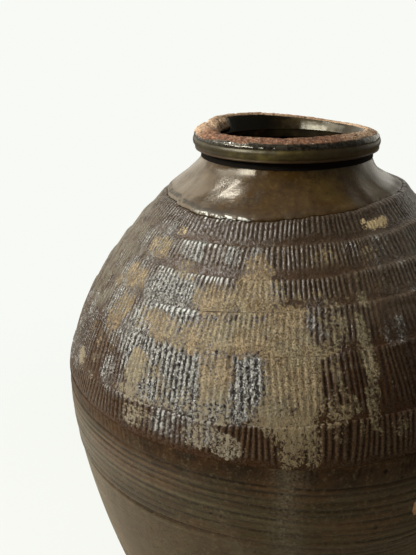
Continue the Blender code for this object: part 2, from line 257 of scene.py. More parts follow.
def lattice(x, y, z, seed):
    """Repeatable random values from -1 to 1 at whole places."""
    mixed = x * 374761393 + y * 668265263 + z * 2246822519 + seed * 3266489917
    mixed = (mixed ^ (mixed >> 13)) & 0xFFFFFFFF
    mixed = (mixed * 1274126177) & 0xFFFFFFFF
    mixed = (mixed ^ (mixed >> 16)) & 0xFFFF
    return mixed / 32767.5 - 1


def noise(points, size, seed):
    """Smooth noise from -1 to 1 that changes over about one size."""
    scaled = points / size
    whole = np.floor(scaled).astype(np.int64)
    part = scaled - whole
    part = part * part * (3 - 2 * part)
    total = 0.0
    for corner in range(8):
        step = np.array([corner & 1, corner >> 1 & 1, corner >> 2])
        weight = np.prod(np.where(step == 1, part, 1 - part), axis=-1)
        place = whole + step
        total = total + weight * lattice(place[..., 0], place[..., 1], place[..., 2], seed)
    return total


def uneven(name, points, more=0):
    """One of the named noises at some points; more makes another of the same kind.

    Each layer after the first is half the size and half the strength of the one before.
    """
    strength, size, seed, *rest = NOISES[name]
    upright, layers = rest or (1.0, 1)
    points = points * [1.0, 1.0, upright]
    total = 0.0
    for layer in range(layers):
        total = total + noise(points, size / 2 ** layer, seed + more + layer) / 2 ** layer
    return strength * (total if layers == 1 else total / 1.5)


def spots(angle, height):
    """Places for noise on the unrolled skin."""
    x = BELLY_RADIUS * np.sin(angle)
    y = -BELLY_RADIUS * np.cos(angle)
    return np.stack(np.broadcast_arrays(x, y, height), axis=-1)


def round_curve(shares, angle):
    """Closed smooth curve through the values that a table gives at angles in degrees."""
    keys = sorted(shares)
    values = [shares[key] for key in keys]
    turn = np.degrees(angle)
    passes = [np.interp(turn + shift, keys, values, period=360) for shift in (-6, -3, 0, 3, 6)]
    return sum(passes) / len(passes)


# Body curve and hand-made settling, as in the part's source

def body_radius(height):
    left = np.clip(COLLAR_FOOT - height, 0.0, None) / CONE_HEIGHT
    cone = COLLAR_RADIUS + (CONE_EDGE_RADIUS - COLLAR_RADIUS) * left ** CONE_POWER_SHARE
    rise = np.clip((height - BELLY_HEIGHT) / (CONE_FOOT - BELLY_HEIGHT), 0.0, None)
    shoulder = BELLY_RADIUS - (BELLY_RADIUS - CONE_EDGE_RADIUS) * rise ** SHOULDER_POWER_SHARE
    drop = np.clip((BELLY_HEIGHT - height) / BELLY_HEIGHT, 0.0, None)
    lower = BELLY_RADIUS - (BELLY_RADIUS - FOOT_RADIUS) * drop ** FOOT_POWER_SHARE
    return np.where(height > CONE_FOOT, cone, np.where(height > BELLY_HEIGHT, shoulder, lower))


def lean_at(height):
    """How steeply the joints rise to the right at a height."""
    shoulder_lean = SHOULDER_LEAN / CONE_EDGE_RADIUS
    keys = (
        (0.0, 0.0),
        (LOWER_WALL_FOOT, 0.0),
        (BELLY_WALL_FOOT, -GROOVE_LEAN / BELLY_RADIUS),
        (COURSES_FOOT, 0.0),
        (CONE_FOOT - sum(COURSE_HEIGHTS[:-1]), shoulder_lean),
        (CONE_FOOT, shoulder_lean),
        (COLLAR_FOOT, 0.0),
    )
    lean = np.zeros_like(height)
    for (low, low_lean), (high, high_lean) in zip(keys, keys[1:]):
        value = low_lean + (high_lean - low_lean) * clean_share(height, low, high)
        lean = np.where((height > low) & (height <= high), value, lean)
    return lean


def settled(radius, height, angle):
    """Points round the axis, with the lean of the courses and the warp of the mouth."""
    radius, height, angle = np.broadcast_arrays(radius, height, angle)
    levels, shifts = zip(*AXIS_SHIFT_SHARES)
    shift = -MILLIMETRE * np.interp(height / JAR_HEIGHT, levels, shifts)
    x = radius * np.sin(angle) + shift
    y = -radius * np.cos(angle)
    share = np.clip(height - RIM_COIL_FOOT - JOINT_LAP, 0.0, None) / (RIM_COIL_HEIGHT - JOINT_LAP)
    warp = share * (MOUTH_TWIST * np.sin(2 * angle) - MOUTH_LEAN * np.sin(angle))
    return np.stack((x, y, height + (x - shift) * lean_at(height) + warp), axis=-1)


def skin(height, out, angle):
    """Points a distance out from the smooth skin, square to it."""
    step = WALL / 4
    slope = (body_radius(height + step) - body_radius(height - step)) / (2 * step)
    length = np.hypot(1, slope)
    return settled(body_radius(height) + out / length, height - out * slope / length, angle)


def joint_height(level, angle):
    """Height of a joint round the jar; level 0 is the cone's edge and 7 the deep groove."""
    if level == 0:
        place = spots(angle, CONE_FOOT)
        ragged = uneven("cone edge", place) + uneven("cone edge bits", place)
        return CONE_FOOT + MILLIMETRE * (round_curve(CONE_DRIFT_SHARES, angle) + ragged)
    if level <= len(COURSE_HEIGHTS):
        flat = CONE_FOOT - sum(COURSE_HEIGHTS[:level])
        drift = round_curve(COURSE_DRIFT_SHARES[level - 1], angle)
        return flat + MILLIMETRE * (drift + uneven("joint", spots(angle, flat), level))
    return BELLY_WALL_FOOT + MILLIMETRE * round_curve(GROOVE_DRIFT_SHARES, angle)


# Meshes

def make_piece(node, points, finishes, band, marks, sharp=()):
    """One closed mesh that stands for a CAD node, from a grid of points."""
    columns = points.shape[1]
    quads = grid_quads(*points.shape[:2])
    mesh = bpy.data.meshes.new(node + "_fired")
    mesh.vertices.add(points.shape[0] * columns)
    mesh.vertices.foreach_set("co", points.astype(np.float32).ravel())
    mesh.loops.add(quads.size)
    mesh.loops.foreach_set("vertex_index", quads.astype(np.int32).ravel())
    mesh.polygons.add(len(quads))
    mesh.polygons.foreach_set("loop_start", np.arange(0, quads.size, 4, dtype=np.int32))
    mesh.update(calc_edges=True)
    for finish in finishes:
        mesh.materials.append(finish)
    mesh.polygons.foreach_set("material_index", np.repeat(band, columns).astype(np.int32))
    mesh.shade_smooth()
    for name, values in marks.items():
        layer = mesh.attributes.new(name, "FLOAT", "POINT")
        values = np.broadcast_to(values, points.shape[:2])
        layer.data.foreach_set("value", values.astype(np.float32).ravel())
    if sharp:
        ends = np.empty(len(mesh.edges) * 2, np.int32)
        mesh.edges.foreach_get("vertices", ends)
        row = ends.reshape(-1, 2) // columns
        level = (row[:, 0] == row[:, 1]) & np.isin(row[:, 0], [index % points.shape[0] for index in sharp])
        edge = mesh.attributes.new("sharp_edge", "BOOLEAN", "EDGE")
        edge.data.foreach_set("value", level)
    unroll(mesh, points)
    piece = bpy.data.objects.new(node + "_fired", mesh)
    bpy.context.scene.collection.objects.link(piece)
    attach(piece, "root")
    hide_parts(node)


def unroll(mesh, points):
    """Lays the ring out flat as one rectangle, so that baked maps stay sharp."""
    columns = points.shape[1]
    middle = points[:, : columns // 8]
    steps = np.linalg.norm(np.roll(middle, -1, 0) - middle, axis=-1).mean(1) + SMALLEST_STEP
    down = np.concatenate(([0.0], np.cumsum(steps)))
    down = down / down[-1]
    across = np.arange(columns + 1) / columns
    v_top, u_left = np.meshgrid(down[:-1], across[:-1], indexing="ij")
    v_foot, u_right = np.meshgrid(down[1:], across[1:], indexing="ij")
    corners = [(u_left, v_top), (u_left, v_foot), (u_right, v_foot), (u_right, v_top)]
    flat = np.stack([np.stack(corner, axis=-1) for corner in corners], axis=2)
    layer = mesh.uv_layers.new(name="OFBake")
    layer.uv.foreach_set("vector", (MAP_MARGIN + (1 - 2 * MAP_MARGIN) * flat).astype(np.float32).ravel())


def grid_quads(rows, columns):
    """Faces of a grid that closes both ways, seen from outside."""
    index = np.arange(rows * columns).reshape(rows, columns)
    below = np.roll(index, -1, 0)
    return np.stack((index, below, np.roll(below, -1, 1), np.roll(index, -1, 1)), axis=-1).reshape(-1, 4)


def make_ring(node, finishes, skin_rows, ends, angles, marks):
    """A wall ring: outer skin rows from head to foot, then the lapped foot, inner face and lapped head.

    skin_rows is (heights, outs), each with a row of values for each row of the skin. angles has a row for
    each too, or one row for all, and ends with the even one. ends is (head, foot, head_lap, foot_lap).
    """
    height, out = skin_rows
    head, foot, head_lap, foot_lap = ends
    plain = angles[-1]
    half = -WALL / 2
    low = foot - foot_lap
    high = head - head_lap
    inner = [(foot, half), (low, half)] if foot_lap else []
    inner += [(low + (high - low) * share, -WALL) for share in (0.0, 0.25, 0.5, 0.75, 1.0)]
    inner += [(high, half), (head, half)]
    rows = []
    for row, (level, push) in enumerate(zip(height, out)):
        rows.append(skin(level, push, angles[min(row, len(angles) - 1)]))
    rows += [skin(level, np.full_like(plain, push), plain) for level, push in inner]
    band = np.zeros(len(rows))
    band[len(height) : len(rows) - 2] = 1
    none = np.zeros((len(inner), len(plain)))
    full = {name: np.concatenate((values, none)) for name, values in marks.items()}
    sharp = [0, *range(len(height) - 1, len(rows))]
    make_piece(node, np.stack(rows), finishes, band, full, sharp)


# Crust and wear on the ribbed courses

def patch_field(table, angle, height):
    """How far inside the nearest patch a place lies, over a soft edge, up to the patch's own density."""
    place = spots(angle, height)
    turn = np.degrees(angle) + uneven("patch side", place) + uneven("patch side bits", place)
    field = np.full(np.broadcast(angle, height).shape, -2.0)
    height = height + uneven("patch top", place) + uneven("patch top bits", place)
    for middle, level, half_turn, half_level, dense in table:
        across = np.abs(apart(turn, middle)) / half_turn
        upright = np.abs(height - level * JAR_HEIGHT) / (half_level * JAR_HEIGHT)
        reach = max(min(radians(half_turn) * BELLY_RADIUS, half_level * JAR_HEIGHT) / PATCH_SOFTNESS, 1.6)
        inside = 0.15 + (1 - (across ** 2.4 + upright ** 2.4) ** (1 / 2.4)) * reach
        field = np.maximum(field, np.minimum(inside, dense))
    return field


def crust_marks(angle, height):
    """Crust, and rubbed skin with painted glints, from 0 to 1 and half at the edge, ragged along the ribs.
    """
    place = spots(angle, height)
    ragged = uneven("crust edge", place) + uneven("crust tongues", place) + uneven("crust grains", place)
    crust = patch_field(CRUST_PATCH_SHARES, angle, height) + ragged
    wear_and_glints = patch_field(WEAR_AND_GLINT_PATCH_SHARES, angle, height) - 0.8 * ragged
    return np.clip(0.45 + 0.5 * crust, 0.0, 1.0), np.clip(0.4 + 0.5 * wear_and_glints, 0.0, 1.0)


# Ribbed courses

# Rows of a course's flat top, as insets from where its rolled edge begins
SHELF_INSETS = (0.0024, 0.0010)
# Steps of a rounded quarter turn
ROLL_STEPS = 6
COURSE_SINK = 0.0004
CREST_POWER_SHARE = 1.15
# How far down each course the ribs reach before the finger has smoothed them away
RIB_END_SHARES = (0.80, 0.80, 0.80, 0.90, 0.97, 0.93)


def rib_angles(plain, count, middle, levels, more):
    """Angle of every column at every row: the ribs wander a little and lean in bundles."""
    place = spots(plain, 0.0)
    wander = uneven("rib wander", place, more) + uneven("rib wander bits", place, more)
    lean = uneven("rib lean", place, more) + uneven("rib lean bits", place, more)
    side = lean * (levels - middle) / body_radius(levels)
    return plain + wander * 2 * pi / count + side


def swell_share(number, angle):
    """How much a course stands out at its head: less at the left front and where crust fills the joint."""
    filled = clean_share(patch_field(CRUST_PATCH_SHARES, angle, joint_height(number - 1, angle)), -0.3, 0.6)
    soft = sum(np.roll(filled, shift) for shift in range(-9, 10)) / 19
    return round_curve(SWELL_SHARES, angle) * (1 - 0.7 * soft)


def course_rows(number, plain, head, foot, last):
    """Rows of a course from its head down: height, how far out, and share of the way to its foot."""
    even = swell_share(number, plain)
    swell = COURSE_SWELLS[number - 1] * even

    # Flat top under the ring above, rolled edge, then the skin down to the joint
    edge = [(head, swell - EDGE_ROLL - inset) for inset in SHELF_INSETS]
    for step in range(ROLL_STEPS + 1):
        turn = step * pi / 2 / ROLL_STEPS
        edge.append((head - EDGE_ROLL * (1 - cos(turn)), swell - EDGE_ROLL * (1 - sin(turn))))
    steps = round(COURSE_HEIGHTS[number - 1] / MILLIMETRE) + 2
    start = head - EDGE_ROLL
    drop = foot - (0.0 if last else EDGE_TUCK) - start
    levels = [start + drop * share for share in np.linspace(0, 1, steps)[1:]]
    height = np.stack([level for level, out in edge] + levels)

    fall = np.clip((head - height) / (head - foot), 0.0, 1.0)
    lip = LIP_RISE * even * bump(head - height - LIP_DROP, LIP_WIDTH)
    out = swell * (1 - fall ** 2) + lip
    if not last:
        next_swell = COURSE_SWELLS[number] * swell_share(number + 1, plain)
        near = np.clip((FLARE_HEIGHT - (height - foot)) / (FLARE_HEIGHT + EDGE_TUCK), 0.0, 1.0)
        out = out + np.clip(next_swell - 0.40 * EDGE_ROLL, 0.0, None) * near ** 3
    for index, (level, edge_out) in enumerate(edge):
        out[index] = edge_out + lip[index] * (index >= len(SHELF_INSETS))
    return height, out, fall


def rib_strength(number, plain, place, fall, crust):
    """How strongly the ribs stand out: smoothed by a finger above the joint, by crust and by the potter."""
    right = clean_share(np.sin(plain), 0.15, 0.50)
    end_share = RIB_END_SHARES[number - 1] + 0.07 * right * (number < 4)
    strength = 1 - clean_share(fall + uneven("rib end", place, number), end_share - 0.20, end_share)
    strength = strength * (0.86 + uneven("rib strength", place, number))
    strength = strength * (1 - 0.40 * clean_share(crust, 0.3, 0.8))
    strength = strength * (1 - 0.65 * right * clean_share(uneven("calm ribs", place), -0.15, 0.45))
    return strength * round_curve(BELLY_RIB_SHARES if number in (4, 5) else UPPER_RIB_SHARES, plain)


def glint_marks(number, angle, below):
    """Painted glints along the upper edge of a course: where the glaze is painted pale."""
    middle, half_turn, reach, shine = EDGE_GLINT_SHARES[number - 1]
    off = np.abs(np.degrees(front_turn(angle)) - middle)
    along = 1 - clean_share(off, half_turn - 5, half_turn + 3)
    along = along * (0.75 + uneven("glint", spots(angle, 0.4), number))
    return shine * along * bump(np.maximum(below - EDGE_TUCK, 0.0), reach * MILLIMETRE)


def make_course(number, finishes):
    count = RIB_COUNTS[number - 1]
    last = number == len(COURSE_HEIGHTS)
    plain = ring_angles(count * RIB_COLUMNS)
    head = joint_height(number - 1, plain)
    foot = joint_height(number, plain)
    height, out, fall = course_rows(number, plain, head, foot, last)
    angle = rib_angles(plain, count, (head.mean() + foot.mean()) / 2, height, 10 * number)
    place = spots(angle, height)
    crust, wear_and_glints = crust_marks(angle, height)
    strength = rib_strength(number, plain, place, fall, crust)
    phase = (np.arange(count * RIB_COLUMNS) % RIB_COLUMNS) / RIB_COLUMNS
    crest = ((1 + np.cos(2 * pi * phase)) / 2) ** CREST_POWER_SHARE
    below = head - height
    top = clean_share(below, 0.0, EDGE_ROLL)
    between = (1 - crest) + 0.20 * (1 + uneven("each rib", place, number))
    cut = RIB_DEPTHS[number - 1] * strength * top * between
    sag = uneven("course sag", place) - COURSE_SINK
    grain = uneven("course grain", place) * (0.4 + crust + 0.8 * wear_and_glints)
    raised = CRUST_THICKNESS * crust * (0.8 + uneven("crust relief", place))
    out = out - cut + sag + (grain + raised - 0.5 * CRUST_THICKNESS) * top
    shown = strength * clean_share(below, 0.0, EDGE_ROLL / 3)
    marks = {"crust": crust, "wear_and_glints": wear_and_glints, "ridge": crest * shown + (1 - strength) * 0.45}
    marks["fade"] = 1 - np.clip(strength, 0, 1)
    # The edge mark: where glints are painted along the course's upper edge
    marks["edge"] = glint_marks(number, angle, below)
    ends = (head, foot, -JOINT_LAP if number == 1 else JOINT_LAP, JOINT_LAP)
    node = f"ribbed_course_{number}"
    make_ring(node, finishes, (height, out), ends, [*angle, plain], marks)


# Smooth cone under the collar

# Dents and thumb marks: degrees, height share of the cone, half width, half height share, and rise in
# millimetres
CONE_DENT_SHARES = (
    (-31.0, 0.52, 8.5, 0.115, 0.28), (-23.0, 0.93, 9.0, 0.11, 0.6), (-26.0, 0.22, 12.0, 0.14, -0.3),
    (-6.0, 0.45, 14.0, 0.20, -0.5), (-48.0, 0.50, 10.0, 0.30, 0.6), (-66.0, 0.45, 8.0, 0.35, -0.5),
    (-88.0, 0.45, 14.0, 0.45, 1.8), (90.0, 0.35, 18.0, 0.50, -1.6), (24.0, 0.55, 15.0, 0.25, 0.5),
    (52.0, 0.50, 9.0, 0.40, -0.7), (66.0, 0.40, 7.0, 0.30, 0.5), (120.0, 0.50, 14.0, 0.30, 0.7),
    (-130.0, 0.50, 16.0, 0.25, 0.6),
)
# How the narrow dents tilt, as height share for each degree
DENT_TILT_SHARE = 0.026
CONE_SINK = 0.0005
CONE_ROWS = 40
BEAD_ROWS = 14
# Heights over the cone's edge where its bead is full and where it ends
BEAD_REACH = (0.002, 0.016)
# How far the edge is tucked in all round, how much more at the left, and over what height
EDGE_TUCKS = (0.0006, 0.0014)
EDGE_TUCK_HEIGHT = 0.0022
# The marks at the cone's foot: height of the middle and half width; the second is where glints are painted
CONE_MARKS = {"bead": (0.0025, 0.003), "wet": (0.0008, 0.0007)}


def cone_relief(angle, height):
    share = (height - CONE_FOOT) / CONE_HEIGHT
    turn = np.degrees(angle)
    relief = uneven("cone", spots(angle, height)) - CONE_SINK
    for middle, level, half_turn, half_level, rise in CONE_DENT_SHARES:
        across = apart(turn, middle)
        tilt = DENT_TILT_SHARE * across if half_level < 0.12 and level < 0.8 else 0.0
        hill = bump(across, half_turn) * bump(share - level - tilt, half_level)
        relief = relief + rise * MILLIMETRE * hill
    return relief * clean_share(share, 0.0, 0.2)


def make_cone(finishes):
    angle = ring_angles(720)
    foot = joint_height(0, angle)
    head = np.full_like(angle, COLLAR_FOOT)
    height = [head + (foot + CONE_BEAD_HEIGHT - head) * share for share in np.linspace(0, 1, CONE_ROWS)]
    for step in range(1, BEAD_ROWS + 1):
        height.append(foot + CONE_BEAD_HEIGHT * (1 + cos(step * pi / BEAD_ROWS)) / 2)
    height = np.stack(height)
    above = height - foot
    left = -np.sin(angle)
    puff = 0.50 + 0.45 * clean_share(left, -0.2, 0.6) + uneven("bead", spots(angle, CONE_FOOT))
    out = cone_relief(angle, height) + CONE_BEAD * puff * (1 - clean_share(above, *BEAD_REACH))
    tuck = EDGE_TUCKS[0] + EDGE_TUCKS[1] * clean_share(left, -0.3, 0.4)
    out = out - tuck * np.clip(1 - above / EDGE_TUCK_HEIGHT, 0.0, 1.0) ** 2
    marks = {name: bump(above - middle, half) for name, (middle, half) in CONE_MARKS.items()}
    ends = (head, foot, -JOINT_LAP, -JOINT_LAP)
    make_ring("shoulder_cone", finishes, (height, out), ends, [angle], marks)


# Turned wall below the ribs, and the walls under it

# Turned lines: share of the belly wall's height down from its top, fall to the right per radian as the
# same share, depth and half width in millimetres
TURNED_LINE_SHARES = (
    (0.225, 0.080, 0.75, 1.1), (0.300, 0.050, 0.45, 1.5), (0.385, 0.060, 0.65, 1.2),
    (0.480, 0.070, 0.70, 1.0), (0.545, 0.040, 0.35, 1.6), (0.640, 0.050, 0.60, 1.3),
    (0.730, 0.060, 0.45, 1.4), (0.815, 0.020, 0.75, 1.0), (0.900, 0.010, 0.50, 1.3),
)
# Pits: degrees, height share of the jar, radius and depth in millimetres
PIT_SHARES = (
    (22.5, 0.547, 2.3, 1.0), (26.4, 0.553, 1.2, 0.6), (26.5, 0.531, 1.8, 0.8), (24.4, 0.502, 1.5, 0.6),
    (26.0, 0.469, 1.1, 0.5), (27.2, 0.471, 1.3, 0.5), (22.4, 0.444, 1.8, 0.7), (-13.6, 0.461, 1.6, 0.7),
    (-11.4, 0.461, 1.3, 0.5), (-6.0, 0.505, 1.1, 0.4), (2.0, 0.490, 1.0, 0.4), (60.0, 0.520, 1.7, 0.8),
    (95.0, 0.480, 1.5, 0.7), (140.0, 0.530, 1.9, 0.8), (-90.0, 0.500, 1.6, 0.7), (-150.0, 0.470, 1.4, 0.6),
)
# Pale runs of washed-off crust: degrees at the top and at the foot, top and foot as height shares of the
# jar, half width in degrees and strength
RUN_SHARES = (
    (1.8, 3.4, 0.590, 0.240, 3.2, 0.85), (-11.5, -6.0, 0.485, 0.330, 1.6, 0.45),
    (5.5, 6.5, 0.570, 0.480, 1.0, 0.35), (-20.0, -18.5, 0.580, 0.500, 1.3, 0.20),
    (-33.0, -30.0, 0.570, 0.440, 2.0, 0.20), (118.0, 116.0, 0.580, 0.320, 2.4, 0.60),
    (158.0, 160.0, 0.570, 0.350, 3.0, 0.55), (-142.0, -145.0, 0.580, 0.300, 2.6, 0.60),
    (-96.0, -93.0, 0.560, 0.420, 1.8, 0.40),
)
# How strongly the deep groove is cut round the jar: it dies away at the front right
GROOVE_SHARES = {-120: 0.8, -60: 1.0, -30: 0.9, -10: 0.55, 8: 0.30, 30: 0.25, 50: 0.40, 90: 0.7, 150: 0.9}
# Bare orange clay where the glaze has jumped off
CHIP_SHARES = ((33.0, 0.463, 2.3, 0.018), (-158.0, 0.500, 1.6, 0.010))
WALL_MARKS = ("crust", "black", "chip", "brown", "line", "pale", "run")
WALL_SINK = 0.0007
TRACE_DEPTH = 0.0004
# How far below the last course the turned lines reach full depth and the crust ends
LINES_START = 0.006
CRUST_RUNOUT = 0.008
CHIP_DEPTH = 0.0007
# The strong groove: its depth and reach above and below the joint, and the ridge above it
UPPER_GROOVE = (0.0022, 0.0035)
LOWER_GROOVE = (0.0018, 0.0030)
GROOVE_RIDGE = (0.0006, 0.0055, 0.0025)
# Where the groove's dark line ends above and below it, the pale line under it, and the brown under the ribs
UPPER_GROOVE_MARK = (0.0006, 0.0026)
LOWER_GROOVE_MARK = (0.0002, 0.0016)
PALE_UNDER_GROOVE = (0.0050, 0.0016)
BROWN_REACH = (0.036, 0.002)
# Furrows under the groove at the right: drop and depth in millimetres, then their rise and half width
FURROW_SHARES = ((6.0, 0.30), (10.5, 0.40), (15.5, 0.45), (21.0, 0.35), (27.0, 0.25))
FURROW_RISE = 0.003
FURROW_WIDTH = 0.0013


def pit_marks(angle, height):
    """Depth of the pits in metres, and how black they are."""
    turn = np.degrees(angle)
    depth = 0.0
    black = 0.0
    for middle, level, radius, deep in PIT_SHARES:
        across = np.radians(apart(turn, middle)) * BELLY_RADIUS
        distance = np.hypot(across, height - level * JAR_HEIGHT) / (radius * MILLIMETRE)
        hole = 1 - clean_share(distance, 0.45, 1.1)
        depth = depth + deep * MILLIMETRE * hole
        black = np.maximum(black, hole)
    return depth, black


def run_marks(angle, height):
    """How pale the skin is where washed-off crust has run down over it."""
    place = spots(angle, height)
    turn = np.degrees(angle) + uneven("run side", place)
    pale = 0.0
    for start, end, high, low, half, strength in RUN_SHARES:
        down = (high - height / JAR_HEIGHT) / (high - low)
        across = apart(turn, start + (end - start) * down)
        length = clean_share(down, 0.0, 0.12) * (1 - clean_share(down, 0.55, 1.0))
        pale = np.maximum(pale, strength * length * bump(across, half))
    return np.clip(pale * (0.70 + uneven("run", place)), 0.0, 1.0)


def chip_marks(angle, height):
    field = patch_field([(*chip, 1.0) for chip in CHIP_SHARES], angle, height)
    return clean_share(field + uneven("chip edge", spots(angle, height)), 0.0, 0.15)


def wall_marks(out, **given):
    """Every mark that the wall's glaze reads, 0 where none is given."""
    return {name: given.get(name, np.zeros_like(out)) for name in WALL_MARKS}


def turned_lines(head, foot, angle, height):
    """Relief of the turned lines, how dark they are, and how pale the ridges under them."""
    turn = front_turn(angle)
    spiral = turn * np.cos(turn / 2) ** 2
    out = uneven("turned wall", spots(angle, height)) - WALL_SINK
    dark = 0.0
    pale = 0.0
    for number, (share, fall, deep, half) in enumerate(TURNED_LINE_SHARES):
        place = spots(angle, share)
        line = head + (foot - head) * (share + fall * spiral) + uneven("line wander", place, number)
        deep = deep * MILLIMETRE * (0.75 + uneven("line depth", place, number))
        half = half * MILLIMETRE
        off = height - line
        out = out - deep * bump(off, half) + 0.5 * deep * bump(off + 2.1 * half, 1.6 * half)
        broken = clean_share(uneven("broken line", place, number), -0.75, 0.1)
        dark = np.maximum(dark, bump(off, 0.85 * half) * np.clip(2.3 * deep / MILLIMETRE, 0, 1) * broken)
        # Pale ridges under the lines: partly thinner glaze, partly painted highlight, stronger at the left
        lit = clean_share(uneven("lit line", place, number) - 0.35 * np.sin(angle), -0.1, 0.7)
        pale = np.maximum(pale, bump(off + 1.9 * half, 0.9 * half) * lit)
    return out, dark, pale


def make_belly_wall(finishes):
    count = RIB_COUNTS[-1]
    columns = 4 * count
    plain = ring_angles(columns)
    head = joint_height(6, plain)
    foot = joint_height(7, plain)
    height = head + (foot - head) * np.linspace(0, 1, 84)[:, None]
    above = height - foot

    # Traces of the ribs run on a little way below the last course
    middle = (joint_height(5, plain).mean() + head.mean()) / 2
    kept = 1 - clean_share((head - height) / (head - foot), 0.06, 0.35)
    angle = plain + kept * (rib_angles(plain, count, middle, height, 60) - plain)
    place = spots(angle, height)
    trace = kept ** 2 * (0.5 - 0.5 * np.cos(np.arange(columns) * pi / 2))
    trace = trace * clean_share(uneven("rib trace", place), -0.6, 0.5)

    out, dark, pale = turned_lines(head, foot, angle, height)
    out = out * clean_share(head - height, 0.0, LINES_START) - TRACE_DEPTH * trace
    groove = round_curve(GROOVE_SHARES, plain)
    deep, reach = UPPER_GROOVE
    deep = deep * groove * (0.8 + uneven("groove depth", spots(plain, 0.3)))
    rise, ridge_height, ridge_width = GROOVE_RIDGE
    out = out - deep * (1 - clean_share(above, 0.0, reach)) + rise * bump(above - ridge_height, ridge_width)
    depth, black = pit_marks(angle, height)
    chip = chip_marks(angle, height)
    out = np.minimum(out, -0.1 * MILLIMETRE) - depth - CHIP_DEPTH * chip
    crust = crust_marks(angle, height)[0] * clean_share(height - COURSES_FOOT, -CRUST_RUNOUT, 0.0)
    line = np.maximum(dark, groove * (1 - clean_share(above, *UPPER_GROOVE_MARK)))
    line = np.maximum(line, 0.6 * trace)
    brown = clean_share(height, COURSES_FOOT - BROWN_REACH[0], COURSES_FOOT - BROWN_REACH[1])
    run = run_marks(angle, height)
    marks = wall_marks(out, crust=crust, black=black, chip=chip, brown=brown, line=line, pale=pale, run=run)
    ends = (head, foot, JOINT_LAP, JOINT_LAP)
    make_ring("belly_wall", finishes, (height, out), ends, [*angle, plain], marks)


def make_lower_wall(finishes):
    angle = ring_angles(840)
    head = joint_height(7, angle)
    foot = np.full_like(angle, LOWER_WALL_FOOT)
    shares = np.concatenate((np.linspace(0, 0.12, 14), np.linspace(0.12, 1, 50)[1:]))
    height = head + (foot - head) * shares[:, None]
    below = head - height
    groove = round_curve(GROOVE_SHARES, angle)
    deep, reach = LOWER_GROOVE
    out = uneven("lower wall", spots(angle, height)) - WALL_SINK
    out = out - deep * groove * (1 - clean_share(below, 0.0, reach))
    ridged = 0.0
    side = np.sin(front_turn(angle))
    for drop, deep in FURROW_SHARES:
        line = drop * MILLIMETRE - FURROW_RISE * side
        furrow = clean_share(side, -0.25, 0.25) * bump(below - line, FURROW_WIDTH)
        out = out - deep * MILLIMETRE * furrow
        ridged = np.maximum(ridged, 0.7 * furrow)
    depth, black = pit_marks(angle, height)
    out = out - depth
    line = np.maximum(ridged, groove * (1 - clean_share(below, *LOWER_GROOVE_MARK)))
    # A pale line under the groove: partly thinner glaze, partly painted highlight
    pale = 0.8 * groove * bump(below - PALE_UNDER_GROOVE[0], PALE_UNDER_GROOVE[1])
    marks = wall_marks(out, black=black, line=line, pale=pale, run=run_marks(angle, height))
    ends = (head, foot, JOINT_LAP, JOINT_LAP)
    make_ring("lower_wall", finishes, (height, out), ends, [angle], marks)


# Height of the glaze's lower edge over the ground, and over what height it ends
GLAZE_FOOT = 0.026
GLAZE_FOOT_SOFTNESS = (-0.0008, 0.0004)
# The glaze's thick lower edge: rise, height over the edge and half width; and how deep the bare clay lies
GLAZE_ROLL = (0.0005, 0.0016, 0.0022)
BARE_DEPTH = 0.0003
FOOT_WALL_SINK = 0.0006
# Depth and half width of the seam over the slab
FOOT_SEAM = (0.0004, 0.0012)


def make_foot_wall(finishes):
    angle = ring_angles(720)
    head = np.full_like(angle, LOWER_WALL_FOOT)
    foot = np.full_like(angle, BASE_THICKNESS)
    height = head + (foot - head) * np.linspace(0, 1, 60)[:, None]
    place = spots(angle, height)
    flat = spots(angle, 0.0)
    over = height - (GLAZE_FOOT + uneven("glaze drips", flat) + uneven("glaze drip bits", flat))
    glazed = clean_share(over, *GLAZE_FOOT_SOFTNESS)
    rise, roll_height, roll_width = GLAZE_ROLL
    out = uneven("foot wall", place) - FOOT_WALL_SINK
    out = out + rise * glazed * bump(over - roll_height, roll_width) - BARE_DEPTH * (1 - glazed)
    out = out - FOOT_SEAM[0] * bump(height - BASE_THICKNESS, FOOT_SEAM[1])
    out = out + uneven("bare clay", place) * (1 - glazed)
    marks = wall_marks(out, chip=1 - glazed)
    ends = (head, foot, JOINT_LAP, 0.0)
    make_ring("foot_wall", finishes, (height, out), ends, [angle], marks)


def make_slab(finishes):
    """Slab with a rounded heel and a raised middle; its two flat faces close on a small ring of points."""
    angle = ring_angles(480)
    top = BASE_THICKNESS
    edge = float(body_radius(np.array(top)))
    heel = float(body_radius(np.array(HEEL_ROUND)))
    plug = edge - WALL * 1.15
    pole = MILLIMETRE
    raised = top + JOINT_LAP
    line = [(pole, raised), (plug * 0.5, raised), (plug - MILLIMETRE, raised), (plug, raised - MILLIMETRE)]
    line += [(plug, top), (edge - SLAB_BEVEL, top), (edge, top - SLAB_BEVEL)]
    line += [(edge + (heel - edge) * share, top + (HEEL_ROUND - top) * share) for share in (0.35, 0.7, 1.0)]
    for step in range(1, ROLL_STEPS + 1):
        turn = step * pi / 2 / ROLL_STEPS
        line.append((heel - HEEL_ROUND * (1 - cos(turn)), HEEL_ROUND * (1 - sin(turn))))
    line += [(heel * 0.75, 0.0), (heel * 0.4, 0.0), (pole, 0.0)]
    radius, height = [np.array(part)[:, None] for part in zip(*line)]
    rough = uneven("slab edge", spots(angle, height)) - SLAB_SINK
    side = ((height > 0.0) & (height < top) & (radius > plug)).astype(float)
    points = settled(radius + rough * side, height + np.zeros_like(angle), angle)
    make_piece("base_slab", points, finishes, np.zeros(len(line)), {}, SLAB_CORNERS)


# Rolled mouth coil and its collar

